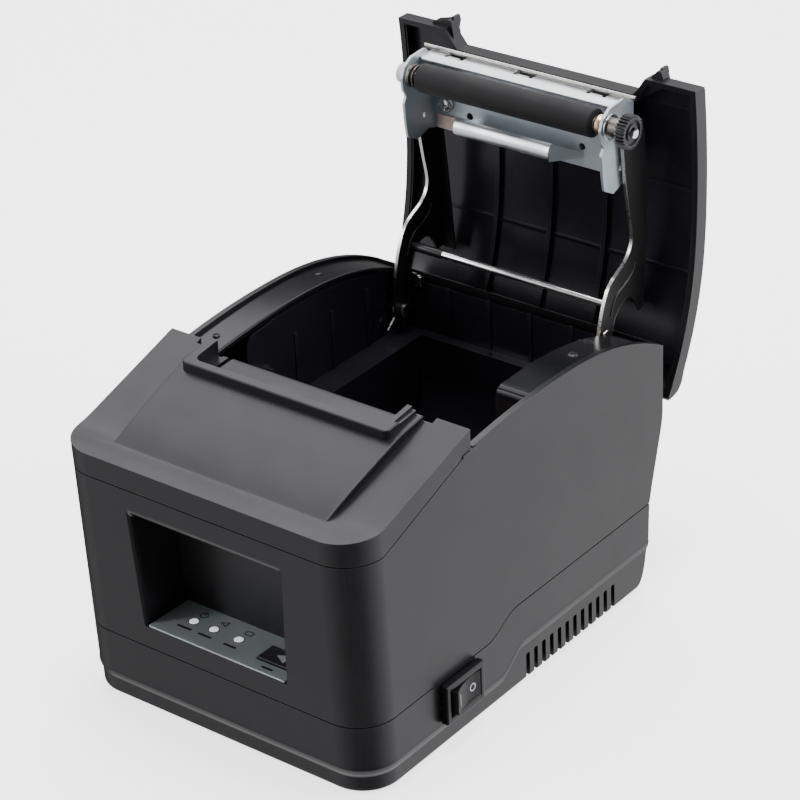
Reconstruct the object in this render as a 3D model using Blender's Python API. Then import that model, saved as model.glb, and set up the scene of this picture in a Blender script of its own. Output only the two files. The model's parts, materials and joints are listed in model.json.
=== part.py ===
"""Receipt printer, desktop thermal type for 80 mm paper.

Millimetres in the code, metres in the scene.  X to the right seen from the
front, the front faces -Y, Z up.  The origin is on the ground under the middle
of the case's outline.  The top lid is modelled open, standing on its hinge.
"""
import math

import bmesh
import bpy
from mathutils import Vector

for _o in list(bpy.data.objects):
    bpy.data.objects.remove(_o)

MM = 0.001

# ---------------------------------------------------------------- dimensions
HALF_W = 70.0            # half width of the case
FRONT_Y = -96.5          # front face at z = 100
REAR_Y = 96.9            # rear face of the upper housing
LEAN = 0.036             # the front face leans back going down
FRONT_R = 16.0           # front vertical corner radius
REAR_R = 2.0
WALL = 2.4
GROUND = 1.2             # rubber feet stand this far under the case floor

PART_FRONT, PART_REAR = 29.0, 36.0     # parting line heights of the two cases
RIDGE_FRONT, RIDGE_REAR = 7.5, 16.0    # waist line of the lower case
RIDGE_INSET = 1.9

SEAM_Z = 97.4            # seam of the front cover at the front
SEAM_SLOPE = 0.361
COVER_Z = 107.7          # top of the front cover at the front
COVER_SLOPE = 0.314
COVER_KNEE_Y = -80.0
COVER_REAR_Y = -28.6

ARC_PEAK_Y, ARC_PEAK_Z = 20.0, 119.6   # top arc of the side walls
ARC_REAR_DROP = 18.4
LID_DEPTH = 7.6          # height of the lid over the arc
LID_GAP = 0.5

HINGE_Y, HINGE_Z = 85.8, 88.0
LID_ANGLE = 91.0         # degrees from closed to the open stop

WELL_HALF = 53.2         # paper well, upper part
ROLL_HALF = 41.4         # paper well, round part for 80 mm rolls
ROLL_R = 42.0
ROLL_Y, ROLL_Z = 45.5, 63.0

PLATEN_Y, PLATEN_Z = 93.4, 188.9       # platen axis with the lid open
PLATEN_R = 5.75
MODULE = 0.45
Z_PLATEN, Z_IDLER, Z_PINION = 28, 48, 16
GEAR_X0, GEAR_X1 = 53.4, 57.6

LED_X = (-20.1, -10.4, 1.6)
LED_Y = -82.6
PANEL_Z = 38.4           # floor of the front recess

# ------------------------------------------------------------------ materials
_mats = {}


def material(name, rgb, rough, metal=0.0):
    if name in _mats:
        return _mats[name]
    m = bpy.data.materials.new(name)
    m.use_nodes = True
    b = m.node_tree.nodes.get("Principled BSDF")
    b.inputs["Base Color"].default_value = (*rgb, 1.0)
    b.inputs["Roughness"].default_value = rough
    b.inputs["Metallic"].default_value = metal
    m.diffuse_color = (*rgb, 1.0)
    _mats[name] = m
    return m


CASE = lambda: material("case_plastic", (0.045, 0.045, 0.048), 0.45)
INNER = lambda: material("inner_plastic", (0.012, 0.012, 0.015), 0.3)
ZINC = lambda: material("zinc_steel", (0.62, 0.66, 0.70), 0.35, 1.0)
STEEL = lambda: material("bright_steel", (0.75, 0.75, 0.76), 0.2, 1.0)
BLACK_STEEL = lambda: material("black_steel", (0.02, 0.02, 0.022), 0.35)
RUBBER = lambda: material("platen_rubber", (0.05, 0.05, 0.055), 0.75)
FOOT = lambda: material("foot_rubber", (0.02, 0.02, 0.02), 0.9)
GEARMAT = lambda: material("gear_plastic", (0.02, 0.02, 0.02), 0.4)
IVORY = lambda: material("ivory_plastic", (0.75, 0.72, 0.65), 0.4)
BRONZE = lambda: material("bronze", (0.72, 0.45, 0.28), 0.3, 1.0)
SILVER = lambda: material("panel_silver", (0.22, 0.26, 0.28), 0.4, 0.3)
LENS = lambda: material("led_lens", (0.8, 0.82, 0.85), 0.25)
BUTTON = lambda: material("button_grey", (0.06, 0.07, 0.08), 0.45)
BOARD = lambda: material("circuit_board", (0.02, 0.16, 0.07), 0.5)
CONNECTOR = lambda: material("connector_black", (0.03, 0.03, 0.03), 0.5)
CERAMIC = lambda: material("ceramic", (0.5, 0.38, 0.28), 0.35)
ALU = lambda: material("aluminium", (0.6, 0.6, 0.6), 0.4, 1.0)
MOTOR = lambda: material("motor_steel", (0.5, 0.5, 0.5), 0.35, 1.0)


# -------------------------------------------------------------------- helpers
def build(name, verts, faces, mat=None, lift=True):
    me = bpy.data.meshes.new(name)
    dz = GROUND if lift else 0.0
    me.from_pydata([(v[0] * MM, v[1] * MM, (v[2] + dz) * MM) for v in verts], [], faces)
    bm = bmesh.new()
    bm.from_mesh(me)
    bmesh.ops.recalc_face_normals(bm, faces=bm.faces)
    bm.to_mesh(me)
    bm.free()
    ob = bpy.data.objects.new(name, me)
    bpy.context.scene.collection.objects.link(ob)
    if mat is not None:
        me.materials.append(mat)
    return ob


def place(axis, a, b, t):
    if axis == "x":
        return (t, a, b)
    if axis == "y":
        return (a, t, b)
    return (a, b, t)


def prism(name, pts, axis, lo, hi, mat=None):
    """A polygon in the two other coordinates, extruded along axis."""
    n = len(pts)
    v = [place(axis, a, b, lo) for a, b in pts] + [place(axis, a, b, hi) for a, b in pts]
    f = [list(range(n)), list(range(2 * n - 1, n - 1, -1))]
    f += [[i, (i + 1) % n, n + (i + 1) % n, n + i] for i in range(n)]
    return build(name, v, f, mat)


def loft(name, rings, mat=None):
    n = len(rings[0])
    v = [p for r in rings for p in r]
    f = [list(range(n)), list(range(len(v) - 1, len(v) - n - 1, -1))]
    for k in range(len(rings) - 1):
        f += [[k * n + i, k * n + (i + 1) % n, (k + 1) * n + (i + 1) % n, (k + 1) * n + i] for i in range(n)]
    return build(name, v, f, mat)


def box(name, x0, x1, y0, y1, z0, z1, mat=None):
    return prism(name, [(x0, y0), (x1, y0), (x1, y1), (x0, y1)], "z", z0, z1, mat)


def circle(a, b, r, n=24, start=0.0):
    return [(a + r * math.cos(start + 2 * math.pi * i / n), b + r * math.sin(start + 2 * math.pi * i / n)) for i in range(n)]


def cyl(name, axis, a, b, r, lo, hi, n=24, mat=None):
    return prism(name, circle(a, b, r, n), axis, lo, hi, mat)


def turned(name, axis, a, b, steps, n=24, mat=None):
    """A stepped shaft: steps is a list of (position along the axis, radius)."""
    rings = []
    for t, r in steps:
        rings.append([place(axis, p, q, t) for p, q in circle(a, b, r, n)])
    return loft(name, rings, mat)


def boolean(ob, other, op="DIFFERENCE", keep=False):
    mod = ob.modifiers.new("b", "BOOLEAN")
    mod.operation = op
    mod.solver = "EXACT"
    mod.object = other
    bpy.context.view_layer.update()
    dg = bpy.context.evaluated_depsgraph_get()
    me = bpy.data.meshes.new_from_object(ob.evaluated_get(dg), depsgraph=dg)
    ob.modifiers.clear()
    old = ob.data
    me.name = old.name
    ob.data = me
    bpy.data.meshes.remove(old)
    if not keep:
        bpy.data.objects.remove(other)
    return ob


def cut(ob, *others):
    for o in others:
        boolean(ob, o, "DIFFERENCE")
    return ob


def join(ob, *others):
    for o in others:
        boolean(ob, o, "UNION")
    return ob


def finish(ob, mat, angle=1.0):
    """Merges flat neighbours so that a node stays light, and shades it."""
    bm = bmesh.new()
    bm.from_mesh(ob.data)
    bmesh.ops.remove_doubles(bm, verts=bm.verts, dist=2e-6)
    bmesh.ops.dissolve_limit(bm, angle_limit=math.radians(angle), verts=bm.verts, edges=bm.edges)
    bmesh.ops.triangulate(bm, faces=bm.faces)
    bm.to_mesh(ob.data)
    bm.free()
    ob.data.materials.clear()
    ob.data.materials.append(mat)
    ob.data.shade_smooth()
    ob.data.set_sharp_from_angle(angle=math.radians(35))
    return ob


def pivot(ob, x, y, z):
    """Moves the object's origin onto its joint's axis."""
    c = Vector((x * MM, y * MM, (z + GROUND) * MM))
    for v in ob.data.vertices:
        v.co -= c
    ob.location = c
    return ob


def front_y(z):
    return FRONT_Y + LEAN * (100.0 - z)


def plan(z, inset=0.0, rear=REAR_Y, n=8):
    """The case's outline seen from above at height z."""
    x = HALF_W - inset
    y0 = front_y(z) + inset
    y1 = rear - inset
    rf = FRONT_R - inset
    rr = max(REAR_R - inset, 0.4)
    pts = []
    for cx, cy, r, a0 in ((x - rf, y0 + rf, rf, -90), (x - rr, y1 - rr, rr, 0), (-x + rr, y1 - rr, rr, 90), (-x + rf, y0 + rf, rf, 180)):
        k = n if r > 5 else 2
        for i in range(k + 1):
            a = math.radians(a0 + 90.0 * i / k)
            pts.append((cx + r * math.cos(a), cy + r * math.sin(a), z))
    return pts


def case_block(name, inset, z0, z1):
    return loft(name, [plan(z0, inset), plan(z1, inset)])


def arc_z(y):
    """Height of the side walls' top arc."""
    if y < ARC_PEAK_Y:
        return ARC_PEAK_Z - (y - ARC_PEAK_Y) ** 2 / (2 * 349.0)
    return ARC_PEAK_Z - ARC_REAR_DROP * ((y - ARC_PEAK_Y) / 77.0) ** 2.5


def arc_points(y0, y1, dz=0.0, n=18):
    return [(y0 + (y1 - y0) * i / n, arc_z(y0 + (y1 - y0) * i / n) + dz) for i in range(n + 1)]


def smooth(t):
    return t * t * (3 - 2 * t)


def s_line(z_front, z_rear, y0=-22.0, y1=-3.0, dz=0.0, n=8):
    """A line that runs level, climbs in an S and runs level again."""
    pts = [(-120.0, z_front + dz)]
    for i in range(n + 1):
        t = i / n
        pts.append((y0 + (y1 - y0) * t, z_front + (z_rear - z_front) * smooth(t) + dz))
    pts.append((130.0, z_rear + dz))
    return pts


def seam_z(y):
    return SEAM_Z if y < COVER_KNEE_Y else SEAM_Z + SEAM_SLOPE * (y - COVER_KNEE_Y)


def cover_z(y):
    return COVER_Z if y < COVER_KNEE_Y else COVER_Z + COVER_SLOPE * (y - COVER_KNEE_Y)


def opened(p):
    """A point of the closed lid, given as (x, y, z), swung to the open stop."""
    a = -math.radians(LID_ANGLE)
    dy, dz = p[1] - HINGE_Y, p[2] - HINGE_Z
    return (p[0], HINGE_Y + dy * math.cos(a) - dz * math.sin(a), HINGE_Z + dy * math.sin(a) + dz * math.cos(a))


def closed(y, z):
    a = math.radians(LID_ANGLE)
    dy, dz = y - HINGE_Y, z - HINGE_Z
    return (HINGE_Y + dy * math.cos(a) - dz * math.sin(a), HINGE_Z + dy * math.sin(a) + dz * math.cos(a))


def swing_open(ob):
    for v in ob.data.vertices:
        p = opened((v.co.x / MM, v.co.y / MM, v.co.z / MM - GROUND))
        v.co = Vector((p[0] * MM, p[1] * MM, (p[2] + GROUND) * MM))
    return ob


# the closed positions of the platen and its gears
CP_Y, CP_Z = closed(PLATEN_Y, PLATEN_Z)
MESH = MODULE * (Z_PLATEN + Z_IDLER) / 2 + 0.12
IDLER_Y, IDLER_Z = CP_Y, CP_Z - MESH
MESH2 = MODULE * (Z_IDLER + Z_PINION) / 2 + 0.12
PIN_A = math.radians(240.0)
PINION_Y, PINION_Z = IDLER_Y + MESH2 * math.cos(PIN_A), IDLER_Z + MESH2 * math.sin(PIN_A)


def gear_points(cy, cz, teeth, phase, backlash=0.12):
    """A spur gear's outline; phase is the direction of one tooth's middle."""
    rp = MODULE * teeth / 2
    rt, rr = rp + MODULE * 0.95, rp - MODULE * 1.25
    half_p = math.pi / (2 * teeth) - backlash / (2 * rp)
    half_t = half_p - math.tan(math.radians(23)) * (rt - rp) / rt
    half_r = half_p + math.tan(math.radians(20)) * (rp - rr) / rp * 0.8
    pts = []
    for i in range(teeth):
        a = phase + 2 * math.pi * i / teeth
        for r, d in ((rr, -half_r), (rp, -half_p), (rt, -half_t), (rt, half_t), (rp, half_p), (rr, half_r)):
            pts.append((cy + r * math.cos(a + d), cz + r * math.sin(a + d)))
    return pts


# ================================================================== lower case
def lower_case():
    ob = case_block("lower_case", RIDGE_INSET, 0.0, 40.0)
    top = case_block("c", 0.0, 2.0, 40.0)
    ridge = s_line(RIDGE_FRONT, RIDGE_REAR, -14.0, 1.0)
    boolean(top, prism("c", ridge + [(130.0, 60.0), (-120.0, 60.0)], "x", -90, 90), "INTERSECT")
    join(ob, top)
    line = s_line(PART_FRONT, PART_REAR, dz=-0.15)
    cut(ob, prism("c", line + [(130.0, 60.0), (-120.0, 60.0)], "x", -90, 90))
    # the rear leans in under the upper housing
    rear = [(75.6, -5), (75.6, 0.0), (79.0, 0.8), (81.5, 2.8), (83.0, 5.6), (84.2, 9.6), (85.4, 16.0), (86.2, 36.0), (86.2, 60), (130, 60), (130, -5)]
    cut(ob, prism("c", rear, "x", -90, 90))
    inner = loft("c", [plan(2.4, RIDGE_INSET + WALL), plan(60.0, RIDGE_INSET + WALL)])
    lim = [(-120, 2.4), (77.0, 2.4), (79.6, 4.4), (81.0, 7.2), (82.0, 11.0), (83.0, 16.4), (83.8, 60.0), (-120, 60.0)]
    boolean(inner, prism("c", lim, "x", -90, 90), "INTERSECT")
    cut(ob, inner)
    for i in range(12):
        y = 4.1 + 5.2 * i
        cut(ob, box("c", 63.0, 72.0, y - 1.1, y + 1.1, -1.0, 10.3))
        cut(ob, box("c", -72.0, -63.0, y - 1.1, y + 1.1, -1.0, 10.3))
    # switch cut-out, rear connector cut-outs
    cut(ob, box("c", 60.0, 75.0, -50.4, -30.6, 12.7, 26.3))
    cut(ob, box("c", -56.6, -39.4, 78.0, 90.0, 8.8, 24.4))
    cut(ob, box("c", -30.6, -15.4, 78.0, 90.0, 8.8, 21.4))
    cut(ob, box("c", -6.6, 8.6, 78.0, 90.0, 8.8, 24.4))
    cut(ob, box("c", 19.4, 34.6, 78.0, 90.0, 8.8, 24.4))
    # moulded pad in the middle of the floor, level with the feet
    join(ob, loft("c", [[(a, b, -GROUND) for a, b in circle(0.0, 0.0, 11.0, 32)], [(a, b, 1.0) for a, b in circle(0.0, 0.0, 12.0, 32)]]))
    # screw holes in the floor
    for x in (-52.0, 52.0):
        for y in (-62.0, 66.0):
            cut(ob, cyl("c", "z", x, y, 2.0, -1, 3.5, 12))
            cut(ob, cyl("c", "z", x, y, 3.7, -1, 1.3, 12))
    return finish(ob, CASE())


lower_case()

# ============================================================== upper housing
RECESS_X0, RECESS_X1 = 33.0, 35.5      # half width at the bottom and at the top
RECESS_TOP = 85.5
RECESS_BACK = -71.0


def recess(grow=0.0, y0=-110.0):
    z0, z1 = PANEL_Z - grow, RECESS_TOP + grow
    a, b = RECESS_X0 + grow, RECESS_X1 + grow
    c = [(-a, z0), (a, z0), (b, z1), (-b, z1)]
    ya = y0
    yb = RECESS_BACK + grow
    v = [(x, ya, z) for x, z in c] + [(x * 0.97 if not grow else x * 0.972, yb, z) for x, z in c]
    f = [[0, 1, 2, 3], [7, 6, 5, 4]] + [[i, (i + 1) % 4, 4 + (i + 1) % 4, 4 + i] for i in range(4)]
    return build("c", v, f)


def upper_housing():
    ob = case_block("upper_housing", 0.0, 20.0, 130.0)
    prof = s_line(PART_FRONT, PART_REAR, dz=0.15)[:-1]
    prof += [(86.2, PART_REAR + 0.15), (88.6, 45.5), (91.4, 55.4), (94.2, 65.3), (REAR_Y, 77.5)]
    top = arc_points(COVER_REAR_Y + 1.2, REAR_Y, 0.0, 22)
    prof += list(reversed(top))
    prof += [(COVER_REAR_Y + 1.2, seam_z(COVER_REAR_Y) - 0.1), (COVER_REAR_Y, seam_z(COVER_REAR_Y) - 0.1), (COVER_KNEE_Y, SEAM_Z - 0.1), (-120.0, SEAM_Z - 0.1)]
    boolean(ob, prism("c", prof, "x", -90, 90), "INTERSECT")
    inner = case_block("c", WALL, 10.0, 140.0)
    lim = [(-120, 5.0), (83.8, 5.0), (83.8, 36.0), (86.2, 45.5), (89.0, 55.4), (91.8, 65.3), (94.5, 77.5), (94.5, 140.0), (-120, 140.0)]
    boolean(inner, prism("c", lim, "x", -90, 90), "INTERSECT")
    cut(ob, inner)
    # band over the rear wall
    band = [(91.9, arc_z(91.9) - 2.2)] + arc_points(91.9, 95.5, 0.0, 3) + [(95.5, arc_z(95.5) - 2.2)]
    join(ob, prism("c", band, "x", -68.6, 68.6))
    # shelves beside the paper well
    for side in (-1, 1):
        y0 = 9.5 if side > 0 else COVER_REAR_Y + 1.4
        topl = arc_points(y0 + 3.0, 92.4, -1.6, 16)
        low = [(y, z - 2.0) for y, z in reversed(topl)]
        if side > 0:
            nose = [(y0, 96.0), (y0, arc_z(y0) - 5.2), (y0 + 1.0, arc_z(y0) - 2.8)]
            back = [(y0 + 2.0, 96.0)]
            low = [p for p in low if p[0] > y0 + 3.2] + [(y0 + 2.0, arc_z(y0) - 6.0)]
            pts = nose + topl + low + back
        else:
            pts = topl + low
        x0, x1 = (53.4, 68.4) if side > 0 else (-68.4, -53.4)
        join(ob, prism("c", pts, "x", x0, x1))
    # recess for the control panel
    r = recess(1.8, -93.6)
    join(ob, r)
    cut(ob, recess(0.0))
    # LED and button openings in the recess floor
    for x in LED_X:
        cut(ob, cyl("c", "z", x, LED_Y, 2.1, 30, 45, 16))
    cut(ob, box("c", 14.3, 30.3, -88.5, -78.5, 30, 45))
    return finish(ob, CASE())


upper_housing()

# ================================================================ front cover
RAMP_HALF = 50.0
NOTCH_HALF = 44.5
RAMP_TOP = [(-90.0, 106.4), (-88.6, 107.0), (-80.0, 110.3), (-72.8, 112.9), (-55.2, 119.0), (-48.5, 121.3), (-43.3, 122.8), (COVER_REAR_Y, 125.2)]


def front_cover():
    ob = case_block("front_cover", 0.0, 80.0, 140.0)
    prof = [(-120, SEAM_Z + 0.2), (COVER_KNEE_Y, SEAM_Z + 0.2), (COVER_REAR_Y, seam_z(COVER_REAR_Y) + 0.2), (COVER_REAR_Y, cover_z(COVER_REAR_Y)), (COVER_KNEE_Y + 4, cover_z(COVER_KNEE_Y + 4)), (COVER_KNEE_Y - 2, COVER_Z + 0.3), (-89, COVER_Z - 0.4), (-120, COVER_Z - 1.0)]
    boolean(ob, prism("c", prof, "x", -90, 90), "INTERSECT")
    # raised ramp that guides the paper out, a little wider at the back
    plate = prism("c", [(-90.0, 101.0)] + RAMP_TOP + [(COVER_REAR_Y, 112.0)], "x", -60.0, 60.0)
    w0, w1 = RAMP_HALF - 0.5, RAMP_HALF + 1.5
    boolean(plate, prism("c", [(-w0, -90.0), (w0, -90.0), (w1, COVER_REAR_Y), (-w1, COVER_REAR_Y)], "z", 90.0, 140.0), "INTERSECT")
    join(ob, plate)
    inner = case_block("c", WALL, 70.0, 140.0)
    lim = [(-120, 80), (COVER_REAR_Y - 2.2, 80), (COVER_REAR_Y - 2.2, cover_z(COVER_REAR_Y - 2.2) - 2.3), (COVER_KNEE_Y + 4, cover_z(COVER_KNEE_Y + 4) - 2.3), (COVER_KNEE_Y - 2, COVER_Z - 2.0), (-120, COVER_Z - 2.6)]
    boolean(inner, prism("c", lim, "x", -90, 90), "INTERSECT")
    cut(ob, inner)
    rin = [(-88.0, 90.0), (-88.0, 104.6), (-80.0, 107.9), (-72.8, 110.5), (-55.2, 116.6), (-48.5, 118.9), (COVER_REAR_Y - 2.2, 122.4), (COVER_REAR_Y - 2.2, 90.0)]
    cut(ob, prism("c", rin, "x", -RAMP_HALF + 2.4, RAMP_HALF - 2.4))
    # paper exit: a rim round the opening, with walls down inside it
    rim = [(-48.5, 108.0), (-48.5, 124.8), (-46.9, 125.5), (COVER_REAR_Y, 127.6), (COVER_REAR_Y, 108.0)]
    join(ob, prism("c", rim, "x", -NOTCH_HALF - 3.8, NOTCH_HALF + 3.8))
    cut(ob, box("c", -NOTCH_HALF, NOTCH_HALF, -45.2, -20.0, 90.0, 140.0))
    # guide plate behind the rim's front bar, and a small ledge at its left end
    guide = [(-46.0, 117.4), (-46.0, 119.6), (-30.4, 120.6), (-29.4, 119.8), (-29.4, 117.4)]
    join(ob, prism("c", guide, "x", -38.6, NOTCH_HALF + 1.0))
    join(ob, prism("c", [(-40.0, 117.4), (-40.0, 119.9), (-29.4, 120.3), (-29.4, 117.4)], "x", -NOTCH_HALF - 1.0, -41.0))
    # pockets for the lid's lugs
    for s in (-1, 1):
        a, b = sorted((s * 44.0, s * 55.0))
        cut(ob, box("c", a, b, -30.6, -20.0, 118.4, 140.0))
    return finish(ob, CASE())


front_cover()

# ================================================================ paper bucket
def paper_bucket():
    def top(dz, y0, y1, n=12):
        return list(reversed(arc_points(y0, y1, dz, n)))

    outer = [(2.0, 76.4), (93.0, 76.4)] + top(-4.2, 2.0, 93.0)
    ob = prism("paper_bucket", outer, "x", -WELL_HALF - 1.5 + 0.0, WELL_HALF + 1.5)
    # keep the walls under the shelves
    for s in (-1, 1):
        a, b = sorted((s * (WELL_HALF + 0.05), s * (WELL_HALF + 3)))
        # the shelf has its own nose at the right front
    ro = ROLL_R + 1.6
    low = [(ROLL_Y + ro, 77.5), (ROLL_Y - ro, 77.5)]
    for i in range(17):
        a = math.radians(180 + 180 * i / 16)
        low.append((ROLL_Y + ro * math.cos(a), ROLL_Z + ro * math.sin(a)))
    join(ob, prism("c", low, "x", -ROLL_HALF - 1.5, ROLL_HALF + 1.5))
    cut(ob, prism("c", [(3.6, 78.0), (91.5, 78.0), (91.5, 140.0), (3.6, 140.0)], "x", -WELL_HALF, WELL_HALF))
    inn = [(ROLL_Y + ROLL_R, 90.0), (ROLL_Y - ROLL_R, 90.0)]
    for i in range(17):
        a = math.radians(180 + 180 * i / 16)
        inn.append((ROLL_Y + ROLL_R * math.cos(a), ROLL_Z + ROLL_R * math.sin(a)))
    cut(ob, prism("c", inn, "x", -ROLL_HALF, ROLL_HALF))
    # low front wall, where the paper leaves for the print head
    cut(ob, box("c", -48.4, 48.4, -5.0, 9.0, 82.0, 140.0))
    cut(ob, box("c", -60.0, 60.0, -5.0, 9.0, 98.0, 140.0))
    # the left wall runs on to the print mechanism
    wing = [(-6.0, 84.0), (-6.0, 108.4), (-5.2, 111.4), (-3.0, 113.6), (0.0, 114.2), (4.0, 114.4), (4.0, 84.0)]
    join(ob, prism("c", wing, "x", -WELL_HALF - 1.5, -WELL_HALF))
    # clear of the right shelf's nose
    cut(ob, box("c", 53.0, 60.0, 0.0, 17.0, 92.0, 140.0))
    return finish(ob, INNER())


paper_bucket()


# ============================================================= control panel
def panel():
    ob = box("panel_plate", -31.6, 31.6, -93.2, -72.0, PANEL_Z + 0.3, PANEL_Z + 0.9)
    for x in LED_X:
        cut(ob, cyl("c", "z", x, LED_Y, 2.1, 30, 45, 16))
    cut(ob, box("c", 14.3, 30.3, -88.5, -78.5, 30, 45))
    finish(ob, SILVER())
    for i, x in enumerate(LED_X):
        led = turned("status_led_%d" % (i + 1), "z", x, LED_Y, [(32.0, 1.75), (39.3, 1.75), (39.8, 1.2)], 16)
        finish(led, LENS())
    b = box("feed_button", 14.8, 29.8, -88.0, -79.0, 36.6, 40.3)
    join(b, box("c", 19.8, 24.8, -85.5, -81.5, 33.2, 37.0))
    finish(b, BUTTON())
    pivot(b, 22.3, -83.5, 38.5)
    finish(box("control_board", -29.0, 31.0, -91.5, -70.0, 30.2, 31.7), BOARD())


panel()


# =============================================================== power switch
SW_X, SW_Y, SW_Z = 69.0, -40.5, 19.5     # rocker axis, upright
SW_TILT = 7.0                            # degrees to each side of level


def power_switch():
    # frame round the opening and the body behind it
    ob = box("switch_body", 70.3, 73.6, -52.0, -29.0, 11.1, 27.9)
    join(ob, box("c", 52.0, 71.0, -50.0, -31.0, 13.1, 25.9))
    cut(ob, box("c", 63.5, 80.0, -49.4, -31.6, 14.0, 25.0))
    finish(ob, CONNECTOR())
    # rocker: pivots on an upright axis; its rear half is pressed in
    half = [(5.65, -8.16), (4.4, -3.0), (4.3, 0.0)]
    under = [(1.98, 8.5), (-1.96, 7.82), (-3.0, 0.0), (-1.96, -7.82), (1.98, -8.5)]
    level = half + [(half[1][0], -half[1][1]), (half[0][0], -half[0][1])] + under
    c, s = math.cos(math.radians(SW_TILT)), math.sin(math.radians(SW_TILT))
    pts = [(SW_X + x * c - y * s, SW_Y + x * s + y * c) for x, y in level]
    rk = prism("power_rocker", pts, "z", 14.4, 24.6)
    finish(rk, CONNECTOR())
    pivot(rk, SW_X, SW_Y, SW_Z)


power_switch()


# ====================================================================== feet
def feet():
    k = 0
    for y in (-78.0, 68.0):
        for x in (-50.0, 50.0):
            k += 1
            ob = turned("rubber_foot_%d" % k, "z", x, y, [(-GROUND, 6.0), (-0.9, 6.6), (-0.25, 6.6)], 20)
            finish(ob, FOOT())
    k = 0
    for y in (-62.0, 66.0):
        for x in (-52.0, 52.0):
            k += 1
            ob = turned("case_screw_%d" % k, "z", x, y, [(0.3, 3.2), (1.0, 3.2), (1.0, 1.5), (6.8, 1.5)], 12)
            finish(ob, STEEL())


feet()


# =============================================================== electronics
def electronics():
    finish(box("main_board", -56.0, 56.0, -70.0, 77.6, 7.2, 8.8), BOARD())
    def port(name, x0, x1, z1, hole, mat):
        ob = box(name, x0, x1, 66.0, 84.4, 9.1, z1)
        hx0, hx1, hz0, hz1 = hole
        cut(ob, box("c", hx0, hx1, 74.0, 90.0, hz0, hz1))
        lim = box("c", x0 - 5, x1 + 5, 60.0, 84.0, 0, 40)
        boolean(ob, lim, "INTERSECT")
        return finish(ob, mat)
    # the lower part of the case is a little shorter, so the ports stop with it
    port("power_socket", -56.3, -39.7, 24.1, (-53.5, -42.5, 12.0, 21.5), CONNECTOR())
    port("usb_port", -30.3, -15.7, 21.1, (-28.3, -17.7, 11.2, 19.2), ALU())
    port("drawer_jack", -6.3, 8.3, 24.1, (-4.0, 6.0, 12.0, 21.8), CONNECTOR())
    port("network_port", 19.7, 34.3, 24.1, (21.4, 32.6, 11.6, 21.9), ALU())
    finish(cyl("buzzer", "z", 40.0, -56.0, 6.0, 9.1, 17.5, 20), CONNECTOR())


electronics()


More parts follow.
